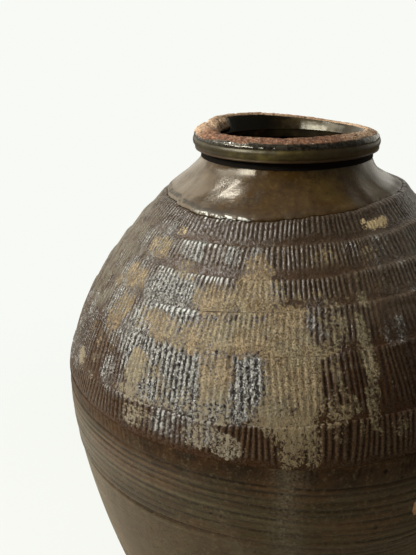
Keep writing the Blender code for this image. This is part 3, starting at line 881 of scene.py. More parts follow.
# Section of the coil: inset from the band's radius and drop from the crest, both in millimetres,
# down the outer side from the crest's inner edge
COIL_SECTION_SHARES = (
    (13.6, 1.2), (12.8, 0.4), (11.6, 0.0), (10.2, 0.4), (8.6, 1.2), (6.6, 2.2), (4.7, 3.3), (3.2, 4.3),
    (2.2, 5.4), (1.3, 7.0), (1.0, 8.2), (1.4, 8.9), (0.8, 9.6), (0.2, 10.6), (0.0, 12.4), (0.2, 14.6),
    (0.9, 16.2), (2.0, 17.2), (1.7, 17.7), (1.3, 18.4), (1.6, 19.1), (2.8, 19.3),
)
GLAZE_EDGE_DROP = 0.0040
NECK_NARROWING = 0.0024
# The coil's two ends: first lump, second lump and the notch between, then the pits: degrees and radius
COIL_LAP_DEGREES = (-88.0, -114.0, -96.0)
# Degrees that the seam between the coil's ends runs on while it crosses the coil
SEAM_TURN = 40.0
LAP_REACH = 0.0075
COIL_PIT_SHARES = ((-107.0, 0.0670, 2.2), (-100.0, 0.0615, 2.2), (-80.0, 0.0640, 1.2), (-92.0, 0.0800, 1.2))
# The coil's inner side from its foot up: how far out from the neck and drop from the crest, in millimetres
COIL_INSIDE_SHARES = ((1.0, 11.2), (2.0, 8.0), (2.9, 5.5), (3.8, 3.0))
COIL_ROWS = 96
# Where the crest ends, as drops, and where the coil's outside begins, as insets from the crest and the band
CREST_DROPS = (0.0035, 0.0070)
OUTSIDE_INSET = 0.004
COIL_SINK = 0.0006
LAP_DIP = 0.0006
# Rise and widening by the first lump, by the second, and cut by the notch
LAP_RISES = (0.0008, -0.0001, -0.0034)
LAP_WIDENINGS = (0.0010, 0.0002, -0.0022)
NOTCH_RADII = (0.062, 0.070)
NOTCH_OUTER_RADII = (0.074, 0.080)
LAP_RADII = (0.0665, 0.0745)
LAP_DROPS = (0.007, 0.0125)
LEFT_EDGE_WEAR = 0.0024
INNER_GLAZE_DROP = 0.0014
LAP_CLAY_DROP = 0.0085
CLAY_SOFTNESS = 0.0003
CREST_MIDDLE_INSET = 0.0035
LAP_ROUGHNESS = 0.0005
BAND_DROPS = (0.0080, 0.0092)
INNER_RADII = (0.0700, 0.0722)
INNER_DROPS = (0.0006, 0.0020)
FOOT_EASE = 0.004
CLAY_RISE = 0.0002
HOLE_DEPTH = 0.0005
COIL_PIT_DEPTH = 0.0016
LIP_DROPS = (0.0166, 0.0172)
MOUTH_INSIDE_DROP = 0.0135
# The collar's outer side: inset and height from the coil's foot
COLLAR_SKIN = ((0.0004, 0.0004), (0.0006, -0.002), (0.0005, -0.004))
COLLAR_BEVEL = 0.0006
COLLAR_STEP = 0.0005


def coil_section():
    """Closed section of the coil, rounded, as radius and drop from the crest."""
    outer = np.array([(RIM_BAND_RADIUS, 0.0)]) - MILLIMETRE * np.array(COIL_SECTION_SHARES) * [1, -1]
    foot = RIM_COIL_HEIGHT
    middle = COLLAR_RADIUS - WALL / 2
    tongue = foot - JOINT_LAP
    inner = COLLAR_RADIUS - WALL - NECK_NARROWING
    under = [(middle, foot), (middle, tongue), (inner, tongue)]
    under += [(inner + out * MILLIMETRE, drop * MILLIMETRE) for out, drop in COIL_INSIDE_SHARES]
    line = np.concatenate((outer, under))
    spans = np.linalg.norm(np.roll(line, -1, 0) - line, axis=1)
    places = np.concatenate(([0.0], np.cumsum(spans)))
    even = np.linspace(0, places[-1], COIL_ROWS, endpoint=False)
    closed = np.concatenate((line, line[:1]))
    section = []
    for values in (closed[:, 0], closed[:, 1]):
        values = np.interp(even, places, values)
        for _ in range(2):
            values = (np.roll(values, 1) + 2 * values + np.roll(values, -1)) / 4
        section.append(values[:, None])
    return section


def make_rim(finishes):
    angle = ring_angles(900)
    turn = apart(np.degrees(angle), 0)
    radius, drop = coil_section()
    crest = 1 - clean_share(drop, *CREST_DROPS)
    outside = clean_share(radius, RIM_CREST_RADIUS - OUTSIDE_INSET, RIM_BAND_RADIUS - OUTSIDE_INSET)

    # The coil wanders a little in radius and height, and its two ends lap at the left
    flat = spots(angle, 0.0)
    wide = uneven("coil width", flat) + uneven("coil width bits", flat) - COIL_SINK
    level = uneven("coil height", spots(angle, 0.2)) - LAP_DIP * bump(turn + 75, 22.0)
    seam = turn - COIL_LAP_DEGREES[2] + SEAM_TURN * (radius - RIM_CREST_RADIUS) / RIM_COIL_WIDTH
    first, second = [bump(turn - place, width) for place, width in zip(COIL_LAP_DEGREES, (5.0, 8.0))]
    notch = bump(seam, 2.8)
    lumps = (first, second, notch * clean_share(radius, *NOTCH_RADII))
    level = level + sum(rise * lump for rise, lump in zip(LAP_RISES, lumps))
    lumps = (first, second, notch * clean_share(radius, *NOTCH_OUTER_RADII))
    wide = wide + sum(widening * lump for widening, lump in zip(LAP_WIDENINGS, lumps))
    lap = clean_share(bump(turn + 94, 30.0) + uneven("lap edge", spots(angle, 0.1)), 0.30, 0.62)
    inward = LAP_REACH * lap * (1 - clean_share(radius, *LAP_RADII)) * (1 - clean_share(drop, *LAP_DROPS))
    place = np.stack(np.broadcast_arrays(radius * np.sin(angle), -radius * np.cos(angle), -drop), axis=-1)
    worn_left = LEFT_EDGE_WEAR * clean_share(-np.sin(angle), 0.72, 0.88)
    edge = GLAZE_EDGE_DROP + worn_left + uneven("glaze edge", place) + uneven("glaze edge bits", place)
    outer_clay = 1 - clean_share(drop, edge - CLAY_SOFTNESS, edge + CLAY_SOFTNESS)
    edge = INNER_GLAZE_DROP + uneven("inner glaze edge", place) + LAP_CLAY_DROP * lap
    inner_clay = 1 - clean_share(drop, edge - CLAY_SOFTNESS, edge + CLAY_SOFTNESS)
    clay = np.where(radius > RIM_CREST_RADIUS - CREST_MIDDLE_INSET, outer_clay, inner_clay)
    rough = uneven("coil grain", place) + uneven("coil bumps", place)
    rough = rough + LAP_ROUGHNESS * lap * uneven("lap bumps", place)
    holes = clean_share(uneven("coil holes", place), 0.55, 0.85)
    pits = 0.0
    for place_turn, place_radius, size in COIL_PIT_SHARES:
        across = np.radians(turn - place_turn) * place_radius
        away = np.hypot(across, radius - inward - place_radius) / (size * MILLIMETRE)
        pits = np.maximum(pits, 1 - clean_share(away, 0.4, 1.1))
    holes = np.maximum(np.maximum(holes, pits), 0.9 * bump(seam, 1.5))
    inner = (1 - clean_share(radius, *INNER_RADII)) * clean_share(drop, *INNER_DROPS)
    swell = uneven("coil glaze", place) * (1 - clay)
    push = wide * np.clip((RIM_COIL_HEIGHT - drop) / FOOT_EASE, 0, 1) + swell + CLAY_RISE * clay * outside
    rough = (rough - HOLE_DEPTH * holes - COIL_PIT_DEPTH * pits) * clay * crest
    lift = rough + level * (1 - drop / RIM_COIL_HEIGHT)
    points = settled(radius + push - inward, JAR_HEIGHT - drop + lift - CLAY_RISE, angle)
    marks = {
        "clay": clay,
        "holes": holes * clay,
        "band": (1 - clean_share(drop, *BAND_DROPS)) * outside * (1 - clay),
        "inner": inner,
        "lip": clean_share(drop, *LIP_DROPS),
        "tan": clean_share(np.abs(turn + 12) - 42 + uneven("pale clay", place), 0.0, 30.0),
    }
    band = (radius[:, 0] < RIM_CREST_RADIUS - CREST_MIDDLE_INSET) & (drop[:, 0] > MOUTH_INSIDE_DROP)
    make_piece("rim_coil", points, finishes, band, marks)


def make_collar(finishes):
    angle = ring_angles(600)
    top = RIM_COIL_FOOT
    lap = COLLAR_FOOT + JOINT_LAP
    middle = COLLAR_RADIUS - WALL / 2
    inner = COLLAR_RADIUS - WALL - NECK_NARROWING
    line = [(COLLAR_RADIUS - inset, top + rise) for inset, rise in COLLAR_SKIN]
    line += [(COLLAR_RADIUS, COLLAR_FOOT + COLLAR_BEVEL), (COLLAR_RADIUS, COLLAR_FOOT)]
    line += [(middle, COLLAR_FOOT), (middle, lap), (inner - COLLAR_STEP, lap), (inner, top + JOINT_LAP)]
    line += [(middle, top + JOINT_LAP), (middle, top + COLLAR_SKIN[0][1])]
    radius, height = [np.array(part)[:, None] for part in zip(*line)]
    points = settled(radius, height + np.zeros_like(angle), angle)
    band = np.array([0, 0, 0, 0, 0, 1, 1, 1, 1, 1, 0])
    make_piece("neck_collar", points, finishes, band, {}, list(range(4, len(line))))


# Materials

def paint(red, green, blue):
    """Colour as seen on a screen, 0 to 255, turned into a linear colour."""
    linear = []
    for value in (red, green, blue):
        value = value / 255
        linear.append(value / 12.92 if value <= 0.04045 else ((value + 0.055) / 1.055) ** 2.4)
    return (*linear, 1.0)


GLAZE_IOR = 1.58


class Nodes:
    """Small helper that builds one tree of shader nodes."""

    def __init__(self, tree):
        self.tree = tree

    def add(self, kind, inputs=None, **settings):
        node = self.tree.nodes.new(kind)
        for name, value in settings.items():
            setattr(node, name, value)
        for name, value in (inputs or {}).items():
            self.put(value, node.inputs[name])
        return node

    def put(self, value, socket):
        """Links a socket or sets its value; three numbers for a colour are as seen on a screen."""
        if isinstance(value, bpy.types.NodeSocket):
            self.tree.links.new(value, socket)
        elif socket.type == "RGBA" and len(value) == 3:
            socket.default_value = paint(*value)
        else:
            socket.default_value = value

    def ramp(self, value, low, high, start=0.0, end=1.0):
        """Start below low, end above high, smooth between."""
        inputs = {"Value": value, "From Min": low, "From Max": high, "To Min": start, "To Max": end}
        return self.add("ShaderNodeMapRange", inputs, interpolation_type="SMOOTHSTEP").outputs["Result"]

    def span(self, value, low, high):
        """Turns 0 to 1 into low to high."""
        inputs = {"Value": value, "To Min": low, "To Max": high}
        return self.add("ShaderNodeMapRange", inputs).outputs["Result"]

    def calc(self, operation, first, second):
        return self.add("ShaderNodeMath", {0: first, 1: second}, operation=operation).outputs[0]

    def times(self, first, second):
        return self.calc("MULTIPLY", first, second)

    def plus(self, first, second):
        return self.calc("ADD", first, second)

    def greater(self, first, second):
        return self.calc("MAXIMUM", first, second)

    def mix(self, share, first, second):
        """Between two colours."""
        return self.add("ShaderNodeMix", {0: share, 6: first, 7: second}, data_type="RGBA").outputs[2]

    def blend(self, share, first, second):
        """Between two values."""
        return self.add("ShaderNodeMix", {0: share, 2: first, 3: second}, data_type="FLOAT").outputs[0]

    def grade(self, value, low, high, first, second):
        """First colour where the value is at low, second where it is at high."""
        return self.mix(self.ramp(value, low, high), first, second)

    def cover(self, colour, share, most, tone):
        """Lays a tone over a colour, as strongly as most where the share is 1."""
        return self.mix(self.span(share, 0.0, most), colour, tone)

    def tint(self, colour, value, low, high, most, tone):
        """Lays a tone over a colour: not at all where the value is at low, as strongly as most at high."""
        return self.cover(colour, self.ramp(value, low, high), most, tone)


class Finish(Nodes):
    """One procedural glaze or clay."""

    def __init__(self, name):
        self.material = bpy.data.materials.new(name)
        self.material.use_nodes = True
        super().__init__(self.material.node_tree)
        self.shader = self.tree.nodes["Principled BSDF"]
        self.place = self.add("ShaderNodeNewGeometry").outputs["Position"]
        parts = self.add("ShaderNodeSeparateXYZ", {0: self.place}).outputs
        self.across, self.level = parts["X"], parts["Z"]

    def marks(self, *names):
        """Marks painted on the mesh, each from 0 to 1."""
        return [self.add("ShaderNodeAttribute", attribute_name=name).outputs["Fac"] for name in names]

    def noise(self, size, detail=3.0, rough=0.55, stretch=(1.0, 1.0, 1.0)):
        """Noise from 0 to 1 whose blots are about one size across."""
        place = self.add("ShaderNodeMapping", {"Vector": self.place, "Scale": stretch}).outputs["Vector"]
        inputs = {"Vector": place, "Scale": 1 / size, "Detail": detail, "Roughness": rough}
        return self.add("ShaderNodeTexNoise", inputs).outputs["Fac"]

    def relief(self, height, distance, strength=1.0, below=None):
        node = self.add("ShaderNodeBump", {"Height": height, "Distance": distance, "Strength": strength})
        if below is not None:
            self.put(below, node.inputs["Normal"])
        return node.outputs["Normal"]

    def finish(self, colour, roughness, normal, **others):
        """Sets the shader; the names of other inputs are written with low lines for their spaces."""
        inputs = {"Base_Color": colour, "Roughness": roughness, "Normal": normal, **others}
        for name, value in inputs.items():
            self.put(value, self.shader.inputs[name.replace("_", " ")])
        return self.material


def ribbed_material():
    f = Finish("ribbed_glaze")
    crust, wear_and_glints, ridge, fade, edge = f.marks("crust", "wear_and_glints", "ridge", "fade", "edge")
    across, level = f.across, f.level
    broad = f.noise(0.060, 3.0)
    streak = f.noise(0.009, 3.0, 0.6, (1.0, 1.0, 0.35))
    fine = f.noise(0.0024, 3.0, 0.70)
    speck = f.noise(0.0013, 2.0, 0.60)
    pebble = f.noise(0.0023, 2.0, 0.60)
    grain = f.ramp(fine, 0.32, 0.68)
    dots = f.ramp(speck, 0.34, 0.66)
    dusty = f.ramp(f.plus(level, f.span(broad, -0.06, 0.06)), 0.33, 0.42)
    # Rib valleys darker and crests paler: partly dirt in the valleys, partly painted shade there and
    # painted highlight on the crests
    valley = f.mix(dusty, (34, 20, 10), (44, 34, 24))
    height = f.mix(dusty, (80, 59, 38), (98, 84, 66))
    glaze = f.grade(ridge, 0.15, 1.0, valley, height)
    warm = f.mix(dusty, (56, 35, 18), (66, 50, 36))
    glaze = f.mix(f.times(fade, f.ramp(broad, 0.30, 0.55)), glaze, warm)
    # Painted shade: the uppermost course darker
    glaze = f.tint(glaze, level, 0.424, 0.432, 0.35, (34, 25, 17))
    # Painted sheen: the upper courses paler at the right
    upper_right_sheen = f.times(f.ramp(across, 0.03, 0.09), f.ramp(level, 0.370, 0.385))
    glaze = f.cover(glaze, upper_right_sheen, 0.22, (120, 104, 86))
    glaze = f.tint(glaze, streak, 0.45, 0.75, 0.5, (28, 18, 9))
    # Painted sheen: paler, speckled glaze at the far left of the upper courses
    left_sheen = f.times(f.ramp(across, -0.095, -0.140), f.ramp(streak, 0.66, 0.40))
    left_sheen = f.times(left_sheen, f.ramp(f.plus(level, f.span(broad, -0.08, 0.08)), 0.335, 0.365))
    glaze = f.cover(glaze, left_sheen, 0.48, f.mix(fine, (72, 66, 54), (142, 136, 115)))
    glaze = f.tint(glaze, speck, 0.58, 0.74, f.span(dusty, 0.25, 0.45), (116, 102, 78))
    # Rubbed skin: grey glaze with painted glints as pale specks
    grey_and_glints = f.grade(fine, 0.42, 0.58, (36, 35, 33), (150, 150, 143))
    grey_and_glints = f.grade(speck, 0.56, 0.64, grey_and_glints, (222, 223, 216))
    # On the rubbed skin: painted highlight on the broken rib crests and painted shade in the valleys,
    # deeper lower down
    broken = f.noise(0.0020, 3.0, 0.75, (1.0, 1.0, 0.5))
    shattered = f.plus(ridge, f.span(f.ramp(broken, 0.30, 0.70), -0.60, 0.60))
    depth = f.span(f.ramp(level, 0.385, 0.350), 0.60, 0.92)
    grey_and_glints = f.tint(grey_and_glints, shattered, 0.55, 0.95, 0.55, (196, 194, 184))
    grey_and_glints = f.tint(grey_and_glints, shattered, 0.62, 0.10, depth, (20, 16, 13))
    wear_and_glint_cover = f.ramp(f.plus(wear_and_glints, f.span(fine, -0.5, 0.5)), 0.35, 0.75)
    wear_and_glint_cover = f.times(wear_and_glint_cover, f.span(fade, 1.0, 0.75))
    skin_colour = f.cover(glaze, wear_and_glint_cover, 0.80, grey_and_glints)
    # Painted glints: pale specks on the rib crests along the upper edge of each course
    glint = f.ramp(f.plus(edge, f.span(grain, -0.35, 0.35)), 0.40, 0.70)
    glint = f.times(glint, f.ramp(ridge, 0.30, 0.85))
    skin_colour = f.cover(skin_colour, glint, 0.85, (206, 208, 200))
    tan = f.grade(streak, 0.35, 0.70, (124, 108, 80), (162, 141, 107))
    tan = f.grade(broad, 0.40, 0.62, tan, f.mix(fine, (120, 112, 88), (152, 142, 112)))
    tan = f.grade(f.noise(0.011, 3.0, 0.6), 0.50, 0.68, tan, (112, 94, 66))
    tan = f.tint(tan, speck, 0.50, 0.62, 0.85, (62, 52, 38))
    tan = f.tint(tan, speck, 0.42, 0.34, 0.60, (196, 178, 142))
    tan = f.tint(tan, ridge, 0.6, 0.0, 0.55, (78, 66, 46))
    tan = f.tint(tan, level, 0.420, 0.434, 0.7, (226, 200, 152))
    low = f.mix(speck, (74, 64, 44), (146, 130, 98))
    low = f.grade(across, 0.0, -0.030, low, f.mix(speck, (76, 68, 54), (172, 162, 138)))
    tan = f.grade(level, 0.350, 0.280, tan, low)
    ragged = f.plus(f.span(grain, -0.36, 0.36), f.span(dots, -0.20, 0.20))
    ragged = f.times(ragged, f.ramp(crust, 0.10, 0.50))
    cover = f.ramp(f.plus(crust, ragged), 0.46, 0.62)
    colour = f.cover(skin_colour, cover, 0.92, tan)
    shine = f.blend(wear_and_glint_cover, 0.30, 0.24)
    clean = f.times(f.ramp(ridge, -0.1, 0.7), f.ramp(fine, 0.62, 0.44))
    clean = f.times(clean, f.span(fade, 1.0, 0.55))
    specular = f.span(clean, 0.03, f.blend(f.greater(wear_and_glints, edge), 0.65, 1.0))
    roughness = f.blend(cover, f.plus(shine, f.span(fine, -0.03, 0.06)), 0.75)
    bare = f.times(f.span(wear_and_glints, 0.20, 1.0), f.span(cover, 1.0, 0.15))
    normal = f.relief(f.times(bare, pebble), 0.0042, 0.9)
    normal = f.relief(f.times(f.span(cover, 0.4, 1.0), speck), 0.0011, 0.8, normal)
    return f.finish(colour, roughness, normal, Specular_IOR_Level=specular, IOR=GLAZE_IOR)


def brown_material():
    f = Finish("brown_glaze")
    bead, foot_glint_band = f.marks("bead", "wet")
    across = f.across
    broad = f.noise(0.050, 3.0)
    cloud = f.noise(0.016, 4.0, 0.6, (1.0, 1.0, 0.7))
    fine = f.noise(0.0022, 3.0, 0.6)
    colour = f.grade(broad, 0.35, 0.65, (58, 38, 8), (56, 39, 17))
    colour = f.tint(colour, cloud, 0.42, 0.66, 0.65, (36, 23, 9))
    colour = f.tint(colour, fine, 0.62, 0.78, 0.3, (112, 96, 70))
    # Painted shade along the bead at the cone's foot
    colour = f.cover(colour, bead, 0.35, (44, 30, 18))
    olive = f.times(f.ramp(across, -0.01, 0.03), f.ramp(f.noise(0.030, 2.0), 0.40, 0.66))
    colour = f.cover(colour, olive, 0.7, (76, 60, 28))
    mottle = f.noise(0.0050, 5.0, 0.70)
    colour = f.tint(colour, mottle, 0.50, 0.70, 0.38, (92, 72, 38))
    colour = f.tint(colour, mottle, 0.48, 0.30, 0.55, (26, 16, 6))
    # Painted sheen: paler glaze on the left of the cone
    cone_left_sheen = f.times(f.ramp(across, -0.052, -0.072), f.ramp(f.noise(0.032, 3.0), 0.32, 0.56))
    colour = f.cover(colour, cone_left_sheen, 0.50, (126, 115, 98))
    # Painted shadow: a dark, broken line along the cone's lower edge at the left
    edge_shadow = f.times(f.ramp(bead, 0.72, 0.95), f.ramp(across, -0.030, -0.055))
    edge_shadow = f.times(edge_shadow, f.span(f.ramp(f.noise(0.0050, 3.0), 0.42, 0.54), 0.25, 1.0))
    colour = f.cover(colour, edge_shadow, 0.85, (14, 9, 6))
    # Painted glints: white specks just above the cone's lower edge at the left front
    wet = f.times(f.ramp(foot_glint_band, 0.35, 0.75), f.ramp(f.noise(0.0028, 2.0), 0.48, 0.54))
    wet = f.times(wet, f.times(f.ramp(across, -0.080, -0.062), f.ramp(across, -0.022, -0.034)))
    colour = f.cover(colour, wet, 0.85, (214, 216, 208))
    normal = f.relief(mottle, 0.0008, 0.24)
    normal = f.relief(fine, 0.0003, 0.16, normal)
    shine = f.plus(f.ramp(cloud, 0.3, 0.8, 0.20, 0.30), f.span(bead, 0.0, 0.22))
    return f.finish(colour, shine, normal, Specular_Tint=(250, 240, 218))


def wall_material():
    f = Finish("wall_glaze")
    crust, black, chip, brown, line, pale, run = f.marks(*WALL_MARKS)
    level = f.level
    broad = f.noise(0.090, 3.0)
    bands = f.noise(0.020, 4.0, 0.6, (0.12, 0.12, 1.6))
    fine = f.noise(0.0022, 3.0, 0.65)
    blots = f.noise(0.018, 4.0, 0.65)
    olive = f.grade(bands, 0.38, 0.66, (48, 38, 18), (68, 58, 34))
    olive = f.tint(olive, blots, 0.42, 0.62, 0.75, (62, 42, 20))
    olive = f.grade(broad, 0.40, 0.68, olive, (56, 41, 20))
    olive = f.tint(olive, level, 0.215, 0.195, 0.35, (96, 82, 62))
    drawn = f.noise(0.045, 4.0, 0.6, (1.0, 1.0, 0.4))
    drawn = f.times(f.ramp(drawn, 0.44, 0.60), f.ramp(level, 0.215, 0.195))
    olive = f.cover(olive, drawn, 0.55, (60, 43, 29))
    warm = f.grade(blots, 0.38, 0.65, (34, 19, 8), (58, 37, 17))
    colour = f.cover(olive, brown, 0.85, warm)
    rust = f.noise(0.055, 3.0, 0.6, (0.6, 0.6, 1.6))
    rust = f.times(f.ramp(level, 0.200, 0.215), f.ramp(rust, 0.46, 0.60))
    colour = f.cover(colour, rust, 0.65, (78, 52, 27))
    # Pale ridges under the turned lines and the groove: partly thinner glaze, partly painted highlight
    colour = f.cover(colour, pale, 0.32, (112, 102, 74))
    colour = f.cover(colour, line, 0.95, (18, 11, 4))
    ash = f.mix(fine, (84, 76, 60), (128, 119, 98))
    colour = f.mix(f.times(run, f.ramp(fine, 0.35, 0.65, 0.35, 0.9)), colour, ash)
    grit = f.noise(0.0046, 4.0, 0.70)
    colour = f.tint(colour, grit, 0.46, 0.32, 0.45, (30, 21, 11))
    colour = f.tint(colour, grit, 0.53, 0.68, 0.35, (100, 88, 62))
    colour = f.tint(colour, fine, 0.42, 0.30, 0.65, (22, 16, 10))
    colour = f.tint(colour, fine, 0.55, 0.75, 0.40, (112, 98, 72))
    tan = f.mix(fine, (108, 90, 64), (160, 140, 106))
    cover = f.ramp(f.plus(crust, f.span(fine, -0.4, 0.4)), 0.45, 0.65)
    colour = f.mix(cover, colour, tan)
    bare = f.mix(f.noise(0.003, 3.0), (176, 120, 78), (206, 158, 112))
    colour = f.mix(chip, colour, bare)
    colour = f.cover(colour, black, 0.92, (16, 13, 12))
    dull = f.greater(brown, run)
    glaze_shine = f.plus(f.ramp(bands, 0.3, 0.8, 0.20, 0.34), f.span(dull, 0.0, 0.2))
    roughness = f.blend(f.greater(cover, chip), glaze_shine, 0.85)
    normal = f.relief(f.noise(0.010, 3.0, 0.5, (1.0, 1.0, 0.5)), 0.0012, 0.30)
    normal = f.relief(fine, 0.0005, 0.35, normal)
    return f.finish(colour, roughness, normal, Specular_IOR_Level=f.span(dull, 0.5, 0.10))


def inside_material():
    f = Finish("inner_glaze")
    cloud = f.noise(0.030, 4.0, 0.6)
    colour = f.grade(cloud, 0.4, 0.7, (18, 12, 6), (48, 40, 22))
    # Painted shade: darker towards the left inside the mouth
    colour = f.tint(colour, f.across, 0.030, -0.025, 0.8, (9, 5, 3))
    colour = f.tint(colour, f.noise(0.020, 2.0), 0.58, 0.70, 0.7, (44, 18, 9))
    normal = f.relief(f.noise(0.012, 2.0), 0.0016, 0.35)
    return f.finish(colour, f.span(cloud, 0.20, 0.30), normal, Specular_Tint=(226, 222, 190))


def recess_shade_material():
    f = Finish("recess_painted_shade")
    # Painted shade: near black, where the collar lies in shade under the coil
    colour = f.mix(f.noise(0.008, 3.0), (8, 6, 4), (20, 15, 10))
    return f.finish(colour, 0.8, f.relief(f.noise(0.004, 2.0), 0.0006, 0.3), Specular_IOR_Level=0.08)


def rim_material():
    f = Finish("rim_glaze")
    clay, holes, band, inner, lip, pale = f.marks("clay", "holes", "band", "inner", "lip", "tan")
    across = f.across
    cloud = f.noise(0.012, 4.0, 0.6)
    grain = f.noise(0.0015, 3.0, 0.70)
    grit = f.noise(0.0030, 3.0, 0.6)
    broad = f.noise(0.050, 2.0)
    red = f.grade(grit, 0.38, 0.62, (84, 53, 38), (138, 95, 70))
    red = f.cover(red, pale, 0.85, f.grade(broad, 0.35, 0.65, (206, 176, 144), (162, 130, 102)))
    red = f.tint(red, across, 0.035, 0.066, 0.55, (196, 166, 136))
    red = f.tint(red, grain, 0.50, 0.58, 0.80, (54, 36, 27))
    red = f.tint(red, grain, 0.42, 0.35, 0.60, (206, 178, 148))
    red = f.cover(red, holes, 0.95, (28, 18, 13))
    olive = f.grade(cloud, 0.40, 0.66, (48, 40, 18), (82, 72, 34))
    russet = f.times(f.ramp(across, -0.005, 0.035), f.ramp(cloud, 0.30, 0.55))
    olive = f.cover(olive, russet, 0.75, (46, 32, 22))
    olive = f.tint(olive, across, -0.030, -0.058, 0.70, (30, 23, 11))
    olive = f.cover(olive, band, 0.95, f.grade(grit, 0.40, 0.62, (16, 14, 12), (50, 46, 40)))
    # Painted shade: the mouth's inside near black towards the left
    deep = f.ramp(across, 0.015, -0.022)
    inside = f.grade(cloud, 0.4, 0.7, (34, 26, 14), (66, 55, 34))
    olive = f.mix(inner, olive, f.mix(deep, inside, (8, 5, 3)))
    olive = f.cover(olive, lip, 0.8, (52, 34, 20))
    colour = f.mix(clay, olive, red)
    roughness = f.blend(clay, f.blend(inner, f.blend(band, 0.40, 0.15), 0.25), 0.88)
    rough_clay = f.relief(f.times(clay, grain), 0.0010, 0.8)
    waves = f.times(f.noise(0.0055, 2.0), f.span(band, 0.30, 1.6))
    waves = f.times(waves, f.span(inner, 1.0, 0.0))
    normal = f.relief(waves, 0.0024, 0.24, rough_clay)
    return f.finish(colour, roughness, normal, Specular_Tint=(236, 230, 206))


def clay_material():
    f = Finish("bare_clay")
    grain = f.noise(0.0014, 3.0, 0.65)
    cloud = f.noise(0.030, 3.0)
    colour = f.mix(cloud, (150, 98, 70), (186, 138, 102))
    colour = f.tint(colour, grain, 0.55, 0.70, 0.6, (98, 66, 48))
    return f.finish(colour, 0.88, f.relief(grain, 0.0008, 0.6))


# Studio: pale ground that fades into the backdrop, three windows at the left, dim room elsewhere

BACKDROP = paint(248, 250, 245)
GROUND_RADIUS = 6.0
WINDOW_COLOUR = (1.0, 0.985, 0.95)
ROOM_COLOUR = (1.0, 0.960, 0.860, 1.0)
# Each window: azimuth and elevation in degrees, distance, width and height in metres, and radiance
WINDOWS = {
    "side_window": (-55.0, 30.0, 1.25, 0.66, 0.26, 31.0),
    "left_window": (-88.0, 36.0, 1.25, 0.70, 0.36, 5.2),
    "high_window": (-94.0, 55.0, 1.20, 0.15, 0.08, 125.0),
}


def make_window(name, window):
    azimuth, elevation, distance, width, height, radiance = window
    light = bpy.data.lights.new(name, "AREA")
    light.shape = "RECTANGLE"
    light.size = width
    light.size_y = height
    light.energy = radiance * pi * width * height
    light.color = WINDOW_COLOUR
    lamp = bpy.data.objects.new(name, light)
    bpy.context.scene.collection.objects.link(lamp)
    azimuth = radians(azimuth)
    elevation = radians(elevation)
    towards = Vector((sin(azimuth) * cos(elevation), -cos(azimuth) * cos(elevation), sin(elevation)))
    lamp.location = Vector((0.0, 0.0, CONE_FOOT)) + towards * distance
    lamp.rotation_euler = towards.to_track_quat("Z", "Y").to_euler()


def make_world():
    """White to the camera; to the jar, a pale wall behind and at the left and a dim room above."""
    world = bpy.data.worlds.new("studio")
    bpy.context.scene.world = world
    world.use_nodes = True
    f = Nodes(world.node_tree)
    parts = f.add("ShaderNodeSeparateXYZ", {0: f.add("ShaderNodeTexCoord").outputs["Generated"]}).outputs
    across, along, level = parts["X"], parts["Y"], parts["Z"]
    behind = f.ramp(f.plus(along, f.times(across, -0.30)), -0.20, 0.70, 0.0, 1.30)
    ceiling = f.ramp(level, 0.20, 0.85, 1.0, 0.08)
    above = f.ramp(f.plus(level, f.times(across, -0.38)), 0.74, 1.02, 0.0, 0.45)
    right = f.ramp(across, 0.10, 0.90, 0.03, 0.15)
    room = f.plus(f.times(behind, ceiling), f.plus(above, right))
    seen = f.add("ShaderNodeLightPath").outputs["Is Camera Ray"]
    light = f.mix(seen, f.mix(room, (0, 0, 0), ROOM_COLOUR), BACKDROP)
    f.put(light, world.node_tree.nodes["Background"].inputs["Color"])


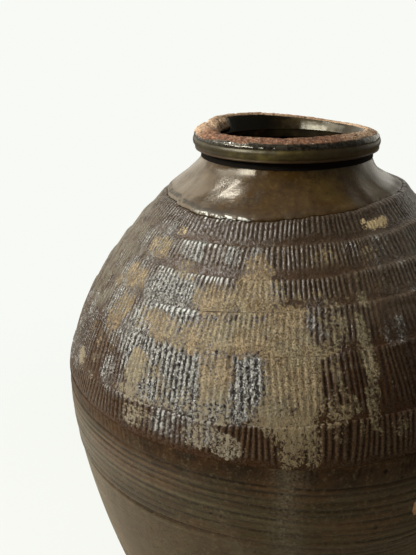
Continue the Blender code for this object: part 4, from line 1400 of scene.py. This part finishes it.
def make_ground():
    mesh = bpy.data.meshes.new("ground")
    ring = [(GROUND_RADIUS * sin(turn), -GROUND_RADIUS * cos(turn), 0.0) for turn in ring_angles(96)]
    mesh.from_pydata(ring, [], [list(range(len(ring)))])
    ground = bpy.data.objects.new("ground", mesh)
    bpy.context.scene.collection.objects.link(ground)
    f = Finish("ground")
    rays = f.add("ShaderNodeLightPath").outputs
    # In reflections the ground is painted pale at the left and darker towards the right: painted light and
    # shade
    mirrored = f.grade(f.across, -0.9, 0.1, (216, 212, 200), (140, 126, 100))
    f.put(f.mix(rays["Is Glossy Ray"], (216, 216, 211), mirrored), f.shader.inputs["Base Color"])
    f.put(0.9, f.shader.inputs["Roughness"])
    f.put(0.2, f.shader.inputs["Specular IOR Level"])
    glow = f.add("ShaderNodeEmission", {"Color": BACKDROP})
    length = f.add("ShaderNodeVectorMath", {0: f.place}, operation="LENGTH").outputs["Value"]
    seen = f.times(rays["Is Camera Ray"], f.span(f.ramp(length, 0.25, 0.9), 0.84, 1.0))
    shown = f.add("ShaderNodeMixShader", {0: seen, 1: f.shader.outputs[0], 2: glow.outputs[0]})
    f.put(shown.outputs[0], f.tree.nodes["Material Output"].inputs["Surface"])
    mesh.materials.append(f.material)


# Camera, at the photograph's angle

PHOTO_HEIGHT_PX = 555
FOCAL_PX = 700
CAMERA_DISTANCE = 0.641
CAMERA_HEIGHT = 0.592
CAMERA_PITCH = 20.47
CAMERA_YAW = 6.51
CAMERA_ROLL = -0.8
SENSOR = 36.0


def make_camera():
    data = bpy.data.cameras.new("camera")
    data.sensor_width = SENSOR
    data.lens = FOCAL_PX * SENSOR / PHOTO_HEIGHT_PX
    data.clip_start = 0.01
    data.clip_end = 50.0
    camera = bpy.data.objects.new("camera", data)
    bpy.context.scene.collection.objects.link(camera)
    turn = Matrix.Rotation(radians(CAMERA_YAW), 4, "Z")
    tilt = Matrix.Rotation(radians(90 - CAMERA_PITCH), 4, "X")
    roll = Matrix.Rotation(radians(CAMERA_ROLL), 4, "Z")
    camera.matrix_world = Matrix.Translation((0.0, -CAMERA_DISTANCE, CAMERA_HEIGHT)) @ turn @ tilt @ roll
    bpy.context.scene.camera = camera


def build():
    ribbed, brown, wall = ribbed_material(), brown_material(), wall_material()
    inside, recess, rim, clay = inside_material(), recess_shade_material(), rim_material(), clay_material()
    make_rim((rim, inside))
    make_collar((recess, inside))
    make_cone((brown, inside))
    for number in range(1, len(COURSE_HEIGHTS) + 1):
        make_course(number, (ribbed, inside))
    make_belly_wall((wall, inside))
    make_lower_wall((wall, inside))
    make_foot_wall((wall, inside))
    make_slab((clay,))
    make_ground()
    for name, window in WINDOWS.items():
        make_window(name, window)
    make_world()
    make_camera()
    bpy.context.scene.view_settings.view_transform = "Standard"


build()
